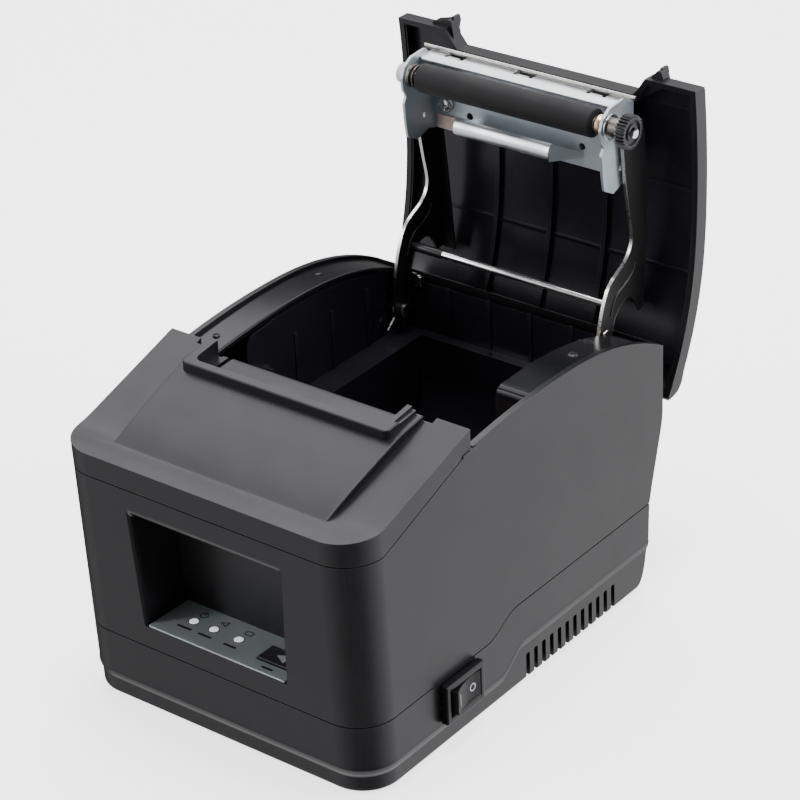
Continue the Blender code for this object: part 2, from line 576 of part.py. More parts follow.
# =========================================================== print mechanism
def mechanism():
    ob = box("mech_frame", -52.0, 52.0, -62.0, -2.0, 44.0, 45.2)
    side = [(-62.0, 44.0), (-2.0, 44.0), (-2.0, 96.0), (-6.0, 101.5), (-24.0, 101.5), (-30.0, 97.5), (-58.0, 97.5), (-62.0, 94.0)]
    for s in (-1, 1):
        a, b = sorted((s * 50.8, s * 52.0))
        join(ob, prism("c", side, "x", a, b))
    notch = [(CP_Y - 5.0, 120.0), (CP_Y - 5.0, CP_Z)] + [(CP_Y + 5.0 * math.cos(math.radians(180 + 18 * i)), CP_Z + 5.0 * math.sin(math.radians(180 + 18 * i))) for i in range(1, 10)] + [(CP_Y + 5.0, CP_Z), (CP_Y + 5.0, 120.0)]
    cut(ob, prism("c", notch, "x", -60, 60))
    cut(ob, cyl("c", "x", PINION_Y, PINION_Z, 1.6, 45, 60, 16))
    finish(ob, ZINC())
    # head, heat sink, springs, pressure plate
    hy = CP_Y - PLATEN_R - 0.35
    finish(box("print_head", -42.0, 42.0, hy - 1.2, hy, 79.5, 96.0), CERAMIC())
    hs = box("head_heatsink", -44.0, 44.0, hy - 4.0, hy - 1.5, 78.0, 96.4)
    finish(hs, ALU())
    pp = box("pressure_plate", -47.0, 47.0, hy - 15.6, hy - 14.4, 74.0, 98.0)
    join(pp, box("c", -50.4, 50.4, hy - 15.6, hy - 14.4, 76.0, 80.0))
    finish(pp, ZINC())
    for k, x in enumerate((-24.0, 24.0)):
        coil("head_spring_%d" % (k + 1), x, hy - 13.9, hy - 4.5, 87.5)
    # drive
    mo = cyl("stepper_motor", "x", PINION_Y, PINION_Z, 12.5, 32.0, 50.2, 28)
    join(mo, prism("c", [(PINION_Y - 17, PINION_Z - 4), (PINION_Y + 17, PINION_Z - 4), (PINION_Y + 17, PINION_Z + 4), (PINION_Y - 17, PINION_Z + 4)], "x", 49.2, 50.5))
    cut(mo, cyl("c", "x", PINION_Y, PINION_Z, 1.6, 46.0, 55.0, 16))
    finish(mo, MOTOR())
    pin = prism("motor_pinion", gear_points(PINION_Y, PINION_Z, Z_PINION, PIN_A + math.pi + math.pi / Z_PINION * PINION_SHIFT), "x", GEAR_X0, GEAR_X1)
    join(pin, cyl("c", "x", PINION_Y, PINION_Z, 1.1, 46.6, GEAR_X0 + 1, 12))
    finish(pin, BRONZE())
    pivot(pin, GEAR_X0, PINION_Y, PINION_Z)
    # the idler has a tooth pointing straight up at the platen gear's gap
    idl = prism("idler_gear", gear_points(IDLER_Y, IDLER_Z, Z_IDLER, math.radians(90.0)), "x", GEAR_X0, GEAR_X1)
    cut(idl, cyl("c", "x", IDLER_Y, IDLER_Z, 1.8, 50, 60, 16))
    finish(idl, GEARMAT())
    pivot(idl, GEAR_X0, IDLER_Y, IDLER_Z)
    ip = turned("idler_pin", "x", IDLER_Y, IDLER_Z, [(52.3, 1.5), (GEAR_X1 + 0.3, 1.5), (GEAR_X1 + 0.3, 2.6), (GEAR_X1 + 1.0, 2.6)], 16)
    finish(ip, STEEL())
    finish(box("paper_sensor", -6.0, 6.0, -14.0, -8.0, 70.0, 77.0), CONNECTOR())
    # cutter under the front cover
    cf = box("cutter_frame", -46.0, 46.0, -72.0, -36.0, 102.2, 103.6)
    for s in (-1, 1):
        a, b = sorted((s * 44.2, s * 46.0))
        join(cf, box("c", a, b, -72.0, -36.0, 103.0, 106.4))
    finish(cf, ZINC())
    edge = [(-42.5, -66.0), (42.5, -66.0), (42.5, -35.4), (0.0, -38.6), (-42.5, -35.4)]
    cb = prism("cutter_blade", edge, "z", 104.0, 105.0)
    finish(cb, STEEL())
    cm = box("cutter_motor", -44.0, -18.0, -68.0, -54.0, 88.0, 101.8)
    finish(cm, MOTOR())


def coil(name, x, y0, y1, z, r=4.0, wire=0.55, turns=5, per=10, sec=5):
    """A compression spring along Y."""
    pts = []
    total = turns * per
    for i in range(total + 1):
        t = i / total
        a = 2 * math.pi * turns * t
        c = (x + r * math.cos(a), y0 + wire + (y1 - y0 - 2 * wire) * t, z + r * math.sin(a))
        rad = (math.cos(a), 0.0, math.sin(a))
        ring = []
        for k in range(sec):
            b = 2 * math.pi * k / sec
            ring.append((c[0] + wire * math.cos(b) * rad[0], c[1] + wire * math.sin(b), c[2] + wire * math.cos(b) * rad[2]))
        pts.append(ring)
    return finish(loft(name, pts), STEEL(), 0.01)


# the pinion's tooth falls in a gap of the idler on their line of centres
_k = (math.radians(240.0 - 90.0) / (2 * math.pi / Z_IDLER)) % 1.0
PINION_SHIFT = 1.0 if abs(_k) < 0.01 or abs(_k - 1) < 0.01 else 0.0
mechanism()


# ================================================================ hinge pins
def hinge_pins():
    for s, n in ((-1, "hinge_pin_left"), (1, "hinge_pin_right")):
        steps = [(47.0, 3.2), (48.2, 3.2), (48.2, 1.9), (52.9, 1.9)]
        ob = turned(n, "x", HINGE_Y, HINGE_Z, [(s * t, r) for t, r in steps], 20)
        finish(ob, STEEL())


hinge_pins()


# ====================================================================== lid
LID_FRONT = -26.6        # closed
LID_MID = -18.6          # front edge between the cheeks, closed
NOTCH_L = 41.6
LID_REAR = 98.0


def lid_top(y):
    return arc_z(min(y, 92.0)) + LID_DEPTH


def lid_shell():
    n = 20
    rim = [(y, z + LID_GAP) for y, z in arc_points(LID_FRONT, 96.9, 0.0, n)]
    top = arc_points(LID_FRONT + 1.2, 88.0, LID_DEPTH, n)
    prof = rim + [(LID_REAR, 102.4), (LID_REAR - 0.7, 107.0), (95.2, 110.6), (92.0, 112.4)] + list(reversed(top)) + [(LID_FRONT, lid_top(LID_FRONT) - 1.2)]
    ob = prism("lid_shell", prof, "x", -HALF_W, HALF_W)
    # inside
    def inside(y0, y1, x0, x1, low=0.0):
        t = arc_points(y0, min(y1, 88.0), LID_DEPTH - 2.2, 14)
        p = [(y0, 80.0), (y1, 80.0)] + ([(y1, 106.0), (93.6, 108.6), (91.0, 110.2)] if y1 > 90 else []) + list(reversed(t))
        return prism("c", p, "x", x0, x1)
    cav = inside(LID_MID + 2.2, 95.6, -HALF_W + 2.4, HALF_W - 2.4)
    for s in (-1, 1):
        a, b = sorted((s * (NOTCH_L + 2.2), s * (HALF_W - 2.4)))
        join(cav, inside(LID_FRONT + 2.2, LID_MID + 4.0, a, b))
    cut(ob, cav)
    # the middle of the front edge stands back, with sloping ends
    mid = [(-NOTCH_L, LID_MID), (NOTCH_L, LID_MID), (NOTCH_L + 5.6, LID_FRONT - 0.2), (NOTCH_L + 6.0, LID_FRONT - 3), (-NOTCH_L - 6.0, LID_FRONT - 3), (-NOTCH_L - 5.6, LID_FRONT - 0.2)]
    cut(ob, prism("c", mid, "z", 90.0, 140.0))
    # lugs that enter the front cover's pockets
    for s in (-1, 1):
        outline = [(s * 44.6, LID_MID + 1.0), (s * 44.6, -28.6), (s * 46.2, -29.9), (s * 52.4, -29.9), (s * 54.2, -26.0), (s * 54.2, LID_FRONT + 2.6)]
        lug = prism("c", outline, "z", 119.2, 140.0)
        t = arc_points(-31.0, -12.0, LID_DEPTH - 0.2, 6)
        boolean(lug, prism("c", [(-31.0, 119.2), (-12.0, 119.2)] + list(reversed(t)), "x", -60, 60), "INTERSECT")
        join(ob, lug)
    # ribs under the roof
    for x in (-26.0, 0.0, 26.0):
        t = arc_points(-14.0, 86.0, LID_DEPTH - 1.9, 12)
        b = arc_points(-14.0, 86.0, LID_DEPTH - 4.2, 12)
        join(ob, prism("c", list(reversed(t)) + b, "x", x - 0.7, x + 0.7))
    swing_open(ob)
    finish(ob, CASE())
    pivot(ob, 0.0, HINGE_Y, HINGE_Z)


lid_shell()


# ------------------------------------------------- platen bracket and its kit
def bracket():
    t = 1.2
    ob = box("platen_bracket", -47.2, 47.2, 108.3, 109.5, 161.2, 194.5)
    join(ob, box("c", -46.6, 46.6, 98.2, 109.5, 193.3, 194.5))
    side = [(109.5, 161.2), (109.5, 194.0), (105.0, 194.4), (103.0, 196.5), (92.0, 195.5), (87.6, 191.0), (88.6, 176.0), (90.0, 165.5), (97.0, 161.5), (104.0, 165.0)]
    for s in (-1, 1):
        a, b = sorted((s * 46.0, s * 47.2))
        join(ob, prism("c", side, "x", a, b))
    cut(ob, cyl("c", "x", PLATEN_Y, PLATEN_Z, 4.3, -60, 60, 20))
    # formed lip
    join(ob, prism("c", [(108.9, 165.8), (101.0, 165.4), (99.6, 166.8), (99.6, 169.2), (101.0, 170.0), (101.4, 168.6), (108.9, 168.0)], "x", -31.6, 15.0))
    # slots of the top flange
    for x in (-34.0, -1.0, 33.0):
        cut(ob, box("c", x - 5.0, x + 5.0, 104.6, 107.0, 190, 200))
    for x in (-26.0, 28.0):
        cut(ob, box("c", x - 1.6, x + 1.6, 105, 112, 179.0, 181.6))
    finish(ob, ZINC())
    pivot(ob, 0.0, HINGE_Y, HINGE_Z)
    tb = box("tear_bar", -49.6, 49.6, 107.0, 108.0, 194.8, 196.6)
    finish(tb, STEEL())
    pivot(tb, 0.0, HINGE_Y, HINGE_Z)
    for s, n in ((-1, "bracket_screw_left"), (1, "bracket_screw_right")):
        sc = turned(n, "y", s * 40.6, 172.7, [(105.8, 2.2), (106.3, 3.0), (108.0, 3.0)], 14)
        finish(sc, STEEL())
        pivot(sc, 0.0, HINGE_Y, HINGE_Z)


bracket()


def arms():
    edge = [(97.5, 186.0), (98.5, 180.0), (100.5, 162.0), (104.4, 141.7), (103.0, 133.5), (97.0, 129.5), (91.3, 127.0), (86.4, 121.0), (83.0, 112.4), (80.6, 101.0), (80.4, 92.0)]
    lobe = [(HINGE_Y + 5.0 * math.cos(math.radians(a)), HINGE_Z + 5.0 * math.sin(math.radians(a))) for a in (180, 210, 240, 270, 300, 330, 0)]
    arch = [(90.8, 99.0), (91.0, 104.4), (91.8, 107.6), (94.0, 111.0), (97.4, 113.6), (101.0, 114.6), (104.2, 113.2), (107.0, 110.0), (109.4, 105.2)]
    back = arch + [(112.0, 106.0), (113.4, 120.0), (114.6, 140.0), (115.0, 160.0), (113.5, 178.0), (112.0, 186.0)]
    pts = edge + lobe + back
    for s, n in ((-1, "lid_arm_left"), (1, "lid_arm_right")):
        a, b = sorted((s * 48.6, s * 49.8))
        ob = prism(n, pts, "x", a, b)
        # stiffening flange turned inwards along the back edge
        flange = [(112.0, 106.0), (113.4, 120.0), (114.6, 140.0), (115.0, 158.0), (113.8, 158.0), (113.4, 140.2), (112.2, 120.4), (110.8, 106.4)]
        fa, fb = sorted((s * 45.4, s * 49.0))
        join(ob, prism("c", flange, "x", fa, fb))
        cut(ob, cyl("c", "x", HINGE_Y, HINGE_Z, 2.3, -60, 60, 16))
        finish(ob, BLACK_STEEL())
        pivot(ob, 0.0, HINGE_Y, HINGE_Z)
    rod = cyl("tie_rod", "x", 92.8, 114.2, 1.6, -48.3, 48.3, 16)
    finish(rod, STEEL())
    pivot(rod, 0.0, HINGE_Y, HINGE_Z)


arms()


# ---------------------------------------------------------------------- platen
def platen():
    sh = turned("platen_shaft", "x", PLATEN_Y, PLATEN_Z, [(-52.0, 2.0), (-41.5, 2.0), (-41.5, 3.0), (41.5, 3.0), (41.5, 2.0), (59.0, 2.0)], 20)
    finish(sh, STEEL())
    ro = cyl("platen_roller", "x", PLATEN_Y, PLATEN_Z, PLATEN_R, -40.8, 40.8, 36)
    cut(ro, cyl("c", "x", PLATEN_Y, PLATEN_Z, 3.3, -50, 50, 20))
    finish(ro, RUBBER())
    # with the lid closed one gap of this gear points straight down
    ph = math.radians(-90.0 - LID_ANGLE) + math.pi / Z_PLATEN
    ge = prism("platen_gear", gear_points(PLATEN_Y, PLATEN_Z, Z_PLATEN, ph), "x", GEAR_X0, GEAR_X1)
    cut(ge, cyl("c", "x", PLATEN_Y, PLATEN_Z, 2.3, 50, 60, 20))
    finish(ge, GEARMAT())
    for o in (sh, ro, ge):
        pivot(o, 0.0, PLATEN_Y, PLATEN_Z)
    bl = cyl("bush_left", "x", PLATEN_Y, PLATEN_Z, 4.0, -51.0, -42.6, 24)
    cut(bl, cyl("c", "x", PLATEN_Y, PLATEN_Z, 2.3, -60, 60, 20))
    finish(bl, IVORY())
    br = cyl("bearing_right", "x", PLATEN_Y, PLATEN_Z, 4.0, 42.6, 52.6, 24)
    cut(br, cyl("c", "x", PLATEN_Y, PLATEN_Z, 2.3, -60, 60, 20))
    finish(br, BRONZE())
    for o in (bl, br):
        pivot(o, 0.0, HINGE_Y, HINGE_Z)


platen()
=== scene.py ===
"""Looks of the receipt printer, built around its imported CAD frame.

Millimetres in the code, metres in the scene, and GROUND is added to every
height because the rubber feet stand under the case floor.
"""

import json
import math

import bmesh
import bpy
from mathutils import Matrix, Vector

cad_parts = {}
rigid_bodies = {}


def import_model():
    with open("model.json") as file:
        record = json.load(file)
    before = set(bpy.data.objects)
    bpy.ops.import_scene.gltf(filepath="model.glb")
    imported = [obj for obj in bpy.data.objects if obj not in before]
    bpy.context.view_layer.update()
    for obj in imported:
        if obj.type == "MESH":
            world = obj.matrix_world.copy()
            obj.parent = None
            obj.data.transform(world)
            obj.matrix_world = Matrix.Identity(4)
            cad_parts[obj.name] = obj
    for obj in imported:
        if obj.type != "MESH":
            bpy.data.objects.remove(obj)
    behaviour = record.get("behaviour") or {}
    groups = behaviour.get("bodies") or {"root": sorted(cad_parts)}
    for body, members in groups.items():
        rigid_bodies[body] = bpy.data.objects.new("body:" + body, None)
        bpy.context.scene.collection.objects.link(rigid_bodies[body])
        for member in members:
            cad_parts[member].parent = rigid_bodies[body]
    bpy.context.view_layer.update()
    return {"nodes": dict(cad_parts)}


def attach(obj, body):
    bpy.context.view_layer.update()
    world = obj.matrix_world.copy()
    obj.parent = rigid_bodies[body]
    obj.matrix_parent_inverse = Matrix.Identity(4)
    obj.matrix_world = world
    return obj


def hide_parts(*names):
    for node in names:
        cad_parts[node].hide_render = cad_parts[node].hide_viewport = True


for _o in list(bpy.data.objects):
    bpy.data.objects.remove(_o)
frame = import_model()

MM = 0.001
HALF_W = 70.0
FRONT_Y, REAR_Y, LEAN = -96.5, 96.9, 0.036
FRONT_R, REAR_R, WALL, GROUND = 16.0, 2.0, 2.4, 1.2
PART_FRONT, PART_REAR = 29.0, 36.0
RIDGE_FRONT, RIDGE_REAR, RIDGE_INSET = 7.5, 16.0, 1.9
SEAM_Z, SEAM_SLOPE = 97.4, 0.361
COVER_Z, COVER_SLOPE, COVER_KNEE_Y, COVER_REAR_Y = 107.7, 0.314, -80.0, -28.6
ARC_PEAK_Y, ARC_PEAK_Z, ARC_REAR_DROP = 20.0, 119.6, 18.4
LID_DEPTH, LID_GAP = 7.6, 0.5
HINGE_Y, HINGE_Z, LID_ANGLE = 85.8, 88.0, 91.0
WELL_HALF, ROLL_HALF, ROLL_R = 53.2, 41.4, 42.0
ROLL_Y, ROLL_Z = 45.5, 63.0
PLATEN_Y, PLATEN_Z, PLATEN_R = 93.4, 188.9, 5.75
MODULE, Z_PLATEN, Z_IDLER, Z_PINION = 0.45, 28, 48, 16
GEAR_X0, GEAR_X1 = 53.4, 57.6
LED_X, LED_Y, PANEL_Z = (-20.1, -10.4, 1.6), -82.6, 38.4
RECESS_X0, RECESS_X1, RECESS_TOP, RECESS_BACK = 33.0, 35.5, 85.5, -71.0
RAMP_HALF, NOTCH_HALF = 50.0, 44.5
LID_FRONT, LID_MID, NOTCH_L, LID_REAR = -26.6, -18.6, 41.6, 98.0
SW_X, SW_Y, SW_Z, SW_TILT = 69.0, -40.5, 19.5, 7.0


# ------------------------------------------------------------------ materials
def nodes_of(name):
    m = bpy.data.materials.new(name)
    m.use_nodes = True
    nt = m.node_tree
    b = nt.nodes.get("Principled BSDF")
    tc = nt.nodes.new("ShaderNodeTexCoord")
    return m, nt, b, tc


def noise(nt, tc, scale, detail=3.0, rough=0.5, stretch=(1, 1, 1), dist=0.0):
    mp = nt.nodes.new("ShaderNodeMapping")
    mp.inputs["Scale"].default_value = stretch
    nt.links.new(tc.outputs["Object"], mp.inputs["Vector"])
    n = nt.nodes.new("ShaderNodeTexNoise")
    n.inputs["Scale"].default_value = scale
    n.inputs["Detail"].default_value = detail
    n.inputs["Roughness"].default_value = rough
    n.inputs["Distortion"].default_value = dist
    nt.links.new(mp.outputs["Vector"], n.inputs["Vector"])
    return n


def ramp(nt, src, stops):
    r = nt.nodes.new("ShaderNodeValToRGB")
    els = r.color_ramp.elements
    while len(els) < len(stops):
        els.new(0.5)
    for e, (p, c) in zip(els, stops):
        e.position = p
        e.color = (*c, 1.0) if len(c) == 3 else c
    nt.links.new(src, r.inputs["Fac"])
    return r


def map_range(nt, src, lo, hi, a=0.0, b=1.0):
    r = nt.nodes.new("ShaderNodeMapRange")
    r.inputs["From Min"].default_value = a
    r.inputs["From Max"].default_value = b
    r.inputs["To Min"].default_value = lo
    r.inputs["To Max"].default_value = hi
    nt.links.new(src, r.inputs["Value"])
    return r.outputs["Result"]


def bump(nt, b, heights, prev=None):
    """heights: list of (socket, strength, distance in metres)."""
    last = prev
    for h, strength, dist in heights:
        bp = nt.nodes.new("ShaderNodeBump")
        bp.inputs["Strength"].default_value = strength
        bp.inputs["Distance"].default_value = dist
        nt.links.new(h, bp.inputs["Height"])
        if last is not None:
            nt.links.new(last, bp.inputs["Normal"])
        last = bp.outputs["Normal"]
    nt.links.new(last, b.inputs["Normal"])
    return last


def painted_edge_highlight(nt, b, colour_socket, lighter, amount=0.5, radius=0.0006):
    """Painted edge highlight: lightens the colour a little where the surface turns over an edge, standing in for the
    light that rounded edges catch.
    """
    bev = nt.nodes.new("ShaderNodeBevel")
    bev.samples = 4
    bev.inputs["Radius"].default_value = radius
    geo = nt.nodes.new("ShaderNodeNewGeometry")
    dot = nt.nodes.new("ShaderNodeVectorMath")
    dot.operation = "DOT_PRODUCT"
    nt.links.new(bev.outputs["Normal"], dot.inputs[0])
    nt.links.new(geo.outputs["Normal"], dot.inputs[1])
    fac = map_range(nt, dot.outputs["Value"], amount, 0.0, 0.80, 1.0)
    mix = nt.nodes.new("ShaderNodeMix")
    mix.data_type = "RGBA"
    nt.links.new(fac, mix.inputs["Factor"])
    nt.links.new(colour_socket, mix.inputs["A"])
    mix.inputs["B"].default_value = (*lighter, 1.0)
    nt.links.new(mix.outputs["Result"], b.inputs["Base Color"])


_made = {}


def plastic(name, rgb, rough, grain=0.00045, depth=0.00002, strength=0.5, spec=0.5, coat=0.0, vary=0.12, edge=None):
    """Moulded plastic: spark-eroded grain, faint flow mottling, uneven sheen."""
    if name in _made:
        return _made[name]
    m, nt, b, tc = nodes_of(name)
    big = noise(nt, tc, 22.0, 3.0, 0.55)
    lo = tuple(c * (1 - vary) for c in rgb)
    hi = tuple(min(1.0, c * (1 + vary)) for c in rgb)
    col = ramp(nt, big.outputs["Fac"], [(0.3, lo), (0.7, hi)])
    nt.links.new(col.outputs["Color"], b.inputs["Base Color"])
    fine = noise(nt, tc, 1.0 / grain, 2.0, 0.6)
    pits = nt.nodes.new("ShaderNodeTexVoronoi")
    pits.inputs["Scale"].default_value = 0.8 / grain
    nt.links.new(tc.outputs["Object"], pits.inputs["Vector"])
    smudge = noise(nt, tc, 60.0, 4.0, 0.6, dist=0.4)
    nt.links.new(map_range(nt, smudge.outputs["Fac"], rough * 0.88, min(1.0, rough * 1.12), 0.25, 0.75), b.inputs["Roughness"])
    b.inputs["Specular IOR Level"].default_value = spec
    b.inputs["Specular Tint"].default_value = (0.955, 0.94, 1.0, 1.0)
    b.inputs["Coat Weight"].default_value = coat
    b.inputs["Coat Roughness"].default_value = 0.12
    # Painted edge highlight: the colour is lightened where the surface turns over an edge.
    if edge:
        painted_edge_highlight(nt, b, col.outputs["Color"], edge, 0.55)
    bump(nt, b, [(fine.outputs["Fac"], strength, depth), (pits.outputs["Distance"], strength * 0.5, depth * 0.8)])
    m.diffuse_color = (*rgb, 1.0)
    _made[name] = m
    return m


def metal(name, rgb, rough, stretch=(1, 1, 1), scale=900.0, depth=0.000006, strength=0.25, vary=0.07, tint=None, spangle=False, met=1.0):
    """Sheet or turned metal with drawn lines along the unstretched axis."""
    if name in _made:
        return _made[name]
    m, nt, b, tc = nodes_of(name)
    b.inputs["Metallic"].default_value = met
    lines = noise(nt, tc, scale, 3.0, 0.6, stretch)
    cloud = noise(nt, tc, 90.0, 4.0, 0.6, dist=0.3)
    lo = tuple(c * (1 - vary) for c in rgb)
    hi = tint or tuple(min(1.0, c * (1 + vary)) for c in rgb)
    col = ramp(nt, cloud.outputs["Fac"], [(0.3, lo), (0.72, hi)])
    nt.links.new(col.outputs["Color"], b.inputs["Base Color"])
    mul = nt.nodes.new("ShaderNodeMath")
    mul.operation = "ADD"
    nt.links.new(map_range(nt, lines.outputs["Fac"], -0.06, 0.06, 0.3, 0.7), mul.inputs[0])
    nt.links.new(map_range(nt, cloud.outputs["Fac"], rough * 0.85, rough * 1.2, 0.3, 0.7), mul.inputs[1])
    nt.links.new(mul.outputs["Value"], b.inputs["Roughness"])
    hs = [(lines.outputs["Fac"], strength, depth)]
    if spangle:
        v = nt.nodes.new("ShaderNodeTexVoronoi")
        v.inputs["Scale"].default_value = 260.0
        nt.links.new(tc.outputs["Object"], v.inputs["Vector"])
        hs.append((v.outputs["Distance"], 0.12, 0.00002))
    bump(nt, b, hs)
    m.diffuse_color = (*rgb, 1.0)
    _made[name] = m
    return m


def rubber(name, rgb, rough=0.75, along=True):
    """Ground rubber: fine rings round the roller and a dusty bloom."""
    if name in _made:
        return _made[name]
    m, nt, b, tc = nodes_of(name)
    rings = noise(nt, tc, 1400.0, 2.0, 0.6, (1.0, 0.06, 0.06) if along else (1, 1, 1))
    dust = noise(nt, tc, 140.0, 5.0, 0.65)
    lo = tuple(c * 0.85 for c in rgb)
    hi = tuple(c * 1.22 for c in rgb)
    col = ramp(nt, dust.outputs["Fac"], [(0.32, lo), (0.72, hi)])
    nt.links.new(col.outputs["Color"], b.inputs["Base Color"])
    nt.links.new(map_range(nt, dust.outputs["Fac"], rough * 0.85, min(1.0, rough * 1.1), 0.3, 0.7), b.inputs["Roughness"])
    b.inputs["Sheen Weight"].default_value = 0.03
    b.inputs["Specular IOR Level"].default_value = 0.3
    b.inputs["Sheen Roughness"].default_value = 0.5
    bump(nt, b, [(rings.outputs["Fac"], 0.45, 0.00003), (dust.outputs["Fac"], 0.1, 0.0001)])
    m.diffuse_color = (*rgb, 1.0)
    _made[name] = m
    return m


def board(name):
    """Circuit board: solder mask over tracks, dark green."""
    if name in _made:
        return _made[name]
    m, nt, b, tc = nodes_of(name)
    br = nt.nodes.new("ShaderNodeTexBrick")
    br.inputs["Scale"].default_value = 160.0
    br.inputs["Color1"].default_value = (0.012, 0.11, 0.045, 1)
    br.inputs["Color2"].default_value = (0.016, 0.14, 0.055, 1)
    br.inputs["Mortar"].default_value = (0.03, 0.22, 0.09, 1)
    br.inputs["Mortar Size"].default_value = 0.03
    nt.links.new(tc.outputs["Object"], br.inputs["Vector"])
    nt.links.new(br.outputs["Color"], b.inputs["Base Color"])
    b.inputs["Roughness"].default_value = 0.35
    n = noise(nt, tc, 700.0)
    bump(nt, b, [(br.outputs["Fac"], 0.4, 0.00003), (n.outputs["Fac"], 0.1, 0.00001)])
    _made[name] = m
    return m


def lens(name):
    if name in _made:
        return _made[name]
    m, nt, b, tc = nodes_of(name)
    n = noise(nt, tc, 900.0, 2.0)
    col = ramp(nt, n.outputs["Fac"], [(0.3, (0.80, 0.83, 0.87)), (0.7, (0.93, 0.94, 0.96))])
    nt.links.new(col.outputs["Color"], b.inputs["Base Color"])
    b.inputs["Roughness"].default_value = 0.22
    b.inputs["Transmission Weight"].default_value = 0.25
    b.inputs["Subsurface Weight"].default_value = 0.3
    b.inputs["Subsurface Radius"].default_value = (0.001, 0.001, 0.001)
    b.inputs["Coat Weight"].default_value = 0.5
    # Emission is a painted glow: the lens shines faintly to read as a bright white disc.
    b.inputs["Emission Color"].default_value = (0.95, 0.97, 1.0, 1)
    b.inputs["Emission Strength"].default_value = 0.45
    bump(nt, b, [(n.outputs["Fac"], 0.1, 0.00002)])
    _made[name] = m
    return m


def film(name, rgb):
    """Printed silver-grey film with a fine metallic flake."""
    if name in _made:
        return _made[name]
    m, nt, b, tc = nodes_of(name)
    flake = nt.nodes.new("ShaderNodeTexVoronoi")
    flake.inputs["Scale"].default_value = 4200.0
    nt.links.new(tc.outputs["Object"], flake.inputs["Vector"])
    cloud = noise(nt, tc, 70.0, 3.0)
    col = ramp(nt, cloud.outputs["Fac"], [(0.3, tuple(c * 0.93 for c in rgb)), (0.7, tuple(c * 1.07 for c in rgb))])
    nt.links.new(col.outputs["Color"], b.inputs["Base Color"])
    b.inputs["Metallic"].default_value = 0.15
    nt.links.new(map_range(nt, flake.outputs["Distance"], 0.34, 0.5), b.inputs["Roughness"])
    bump(nt, b, [(flake.outputs["Distance"], 0.2, 0.00001)])
    _made[name] = m
    return m


# The edge colours in these materials are painted edge highlights, mixed in along edges.
ABS = lambda: plastic("case_abs", (0.0085, 0.0083, 0.0096), 0.34, 0.00042, 0.000022, 0.5, 0.36, edge=(0.04, 0.04, 0.043))
INNER = lambda: plastic("inner_abs", (0.011, 0.0105, 0.015), 0.24, 0.0007, 0.00001, 0.3, 0.4, vary=0.2, edge=(0.03, 0.03, 0.034))
SHELF = lambda: plastic("shelf_abs", (0.006, 0.006, 0.0075), 0.22, 0.0006, 0.00001, 0.3, 0.25, edge=(0.03, 0.03, 0.033))
PART_BLACK = lambda: plastic("switch_black", (0.006, 0.006, 0.007), 0.28, 0.0006, 0.00001, 0.3, 0.25, edge=(0.03, 0.03, 0.033))
ROCKER = lambda: plastic("rocker_black", (0.007, 0.007, 0.008), 0.36, 0.0005, 0.000014, 0.4, 0.16, edge=(0.04, 0.04, 0.043))
BUTTON = lambda: plastic("button_grey", (0.020, 0.022, 0.025), 0.42, 0.0005, 0.000012, 0.4, edge=(0.12, 0.12, 0.13))
GEAR = lambda: plastic("gear_acetal", (0.016, 0.016, 0.018), 0.38, 0.0005, 0.00001, 0.4, edge=(0.06, 0.06, 0.065))
IVORY = lambda: plastic("ivory_acetal", (0.66, 0.64, 0.59), 0.38, 0.0006, 0.00001, 0.3, vary=0.05)
INK = lambda: plastic("dark_ink", (0.012, 0.014, 0.017), 0.5, 0.0006, 0.000005, 0.2)
PALE_INK = lambda: plastic("pale_ink", (0.5, 0.52, 0.54), 0.45, 0.0006, 0.000005, 0.2)
ZINC = lambda: metal("zinc_sheet", (0.47, 0.525, 0.57), 0.40, (1.0, 0.25, 1.0), 500.0, 0.00001, 0.3, 0.06, spangle=True, met=0.72)
# A lighter copy of the same zinc sheet: painted light for the up-facing top flange and the lip.
ZINC_LIT_COPY = lambda: metal("zinc_painted_lit", (0.86, 0.89, 0.92), 0.38, (0.2, 1.0, 1.0), 500.0, 0.00001, 0.3, 0.03)
STEEL = lambda: metal("ground_steel", (0.76, 0.765, 0.775), 0.2, (0.08, 1.0, 1.0), 1200.0, 0.000006, 0.3)
SHEAR = lambda: metal("sheared_edge", (0.74, 0.73, 0.70), 0.28, (1.0, 1.0, 1.0), 1500.0, 0.00001, 0.4)
WIRE = lambda: metal("spring_wire", (0.72, 0.71, 0.69), 0.24, (1, 1, 1), 900.0, 0.000006, 0.2)
BAR = lambda: metal("tear_bar_steel", (0.17, 0.16, 0.148), 0.34, (0.06, 1, 1), 900.0, 0.000008, 0.3)
COPPER = lambda: metal("bronze_bearing", (0.78, 0.54, 0.40), 0.3, (1, 1, 1), 800.0, 0.00001, 0.3)
MOTORM = lambda: metal("motor_can", (0.5, 0.5, 0.51), 0.34, (1, 1, 1), 700.0)
ALUM = lambda: metal("cast_aluminium", (0.62, 0.62, 0.63), 0.4, (1, 1, 1), 600.0, 0.00002, 0.4)
BLACK_COAT = lambda: plastic("black_coat", (0.012, 0.0115, 0.012), 0.34, 0.0008, 0.00002, 0.4, 0.5, coat=0.15, vary=0.25, edge=(0.07, 0.066, 0.06))
ROLLER = lambda: rubber("platen_rubber", (0.0115, 0.0112, 0.013))
FOOT = lambda: rubber("foot_rubber", (0.02, 0.02, 0.021), 0.85, False)
CERAMIC = lambda: plastic("glazed_ceramic", (0.42, 0.30, 0.21), 0.22, 0.0009, 0.00001, 0.2, coat=0.4)
TAG = lambda: plastic("lacquer_tag", (0.62, 0.50, 0.45), 0.35, 0.0008, 0.00001, 0.2, coat=0.3)
BOARD = lambda: board("circuit_board")


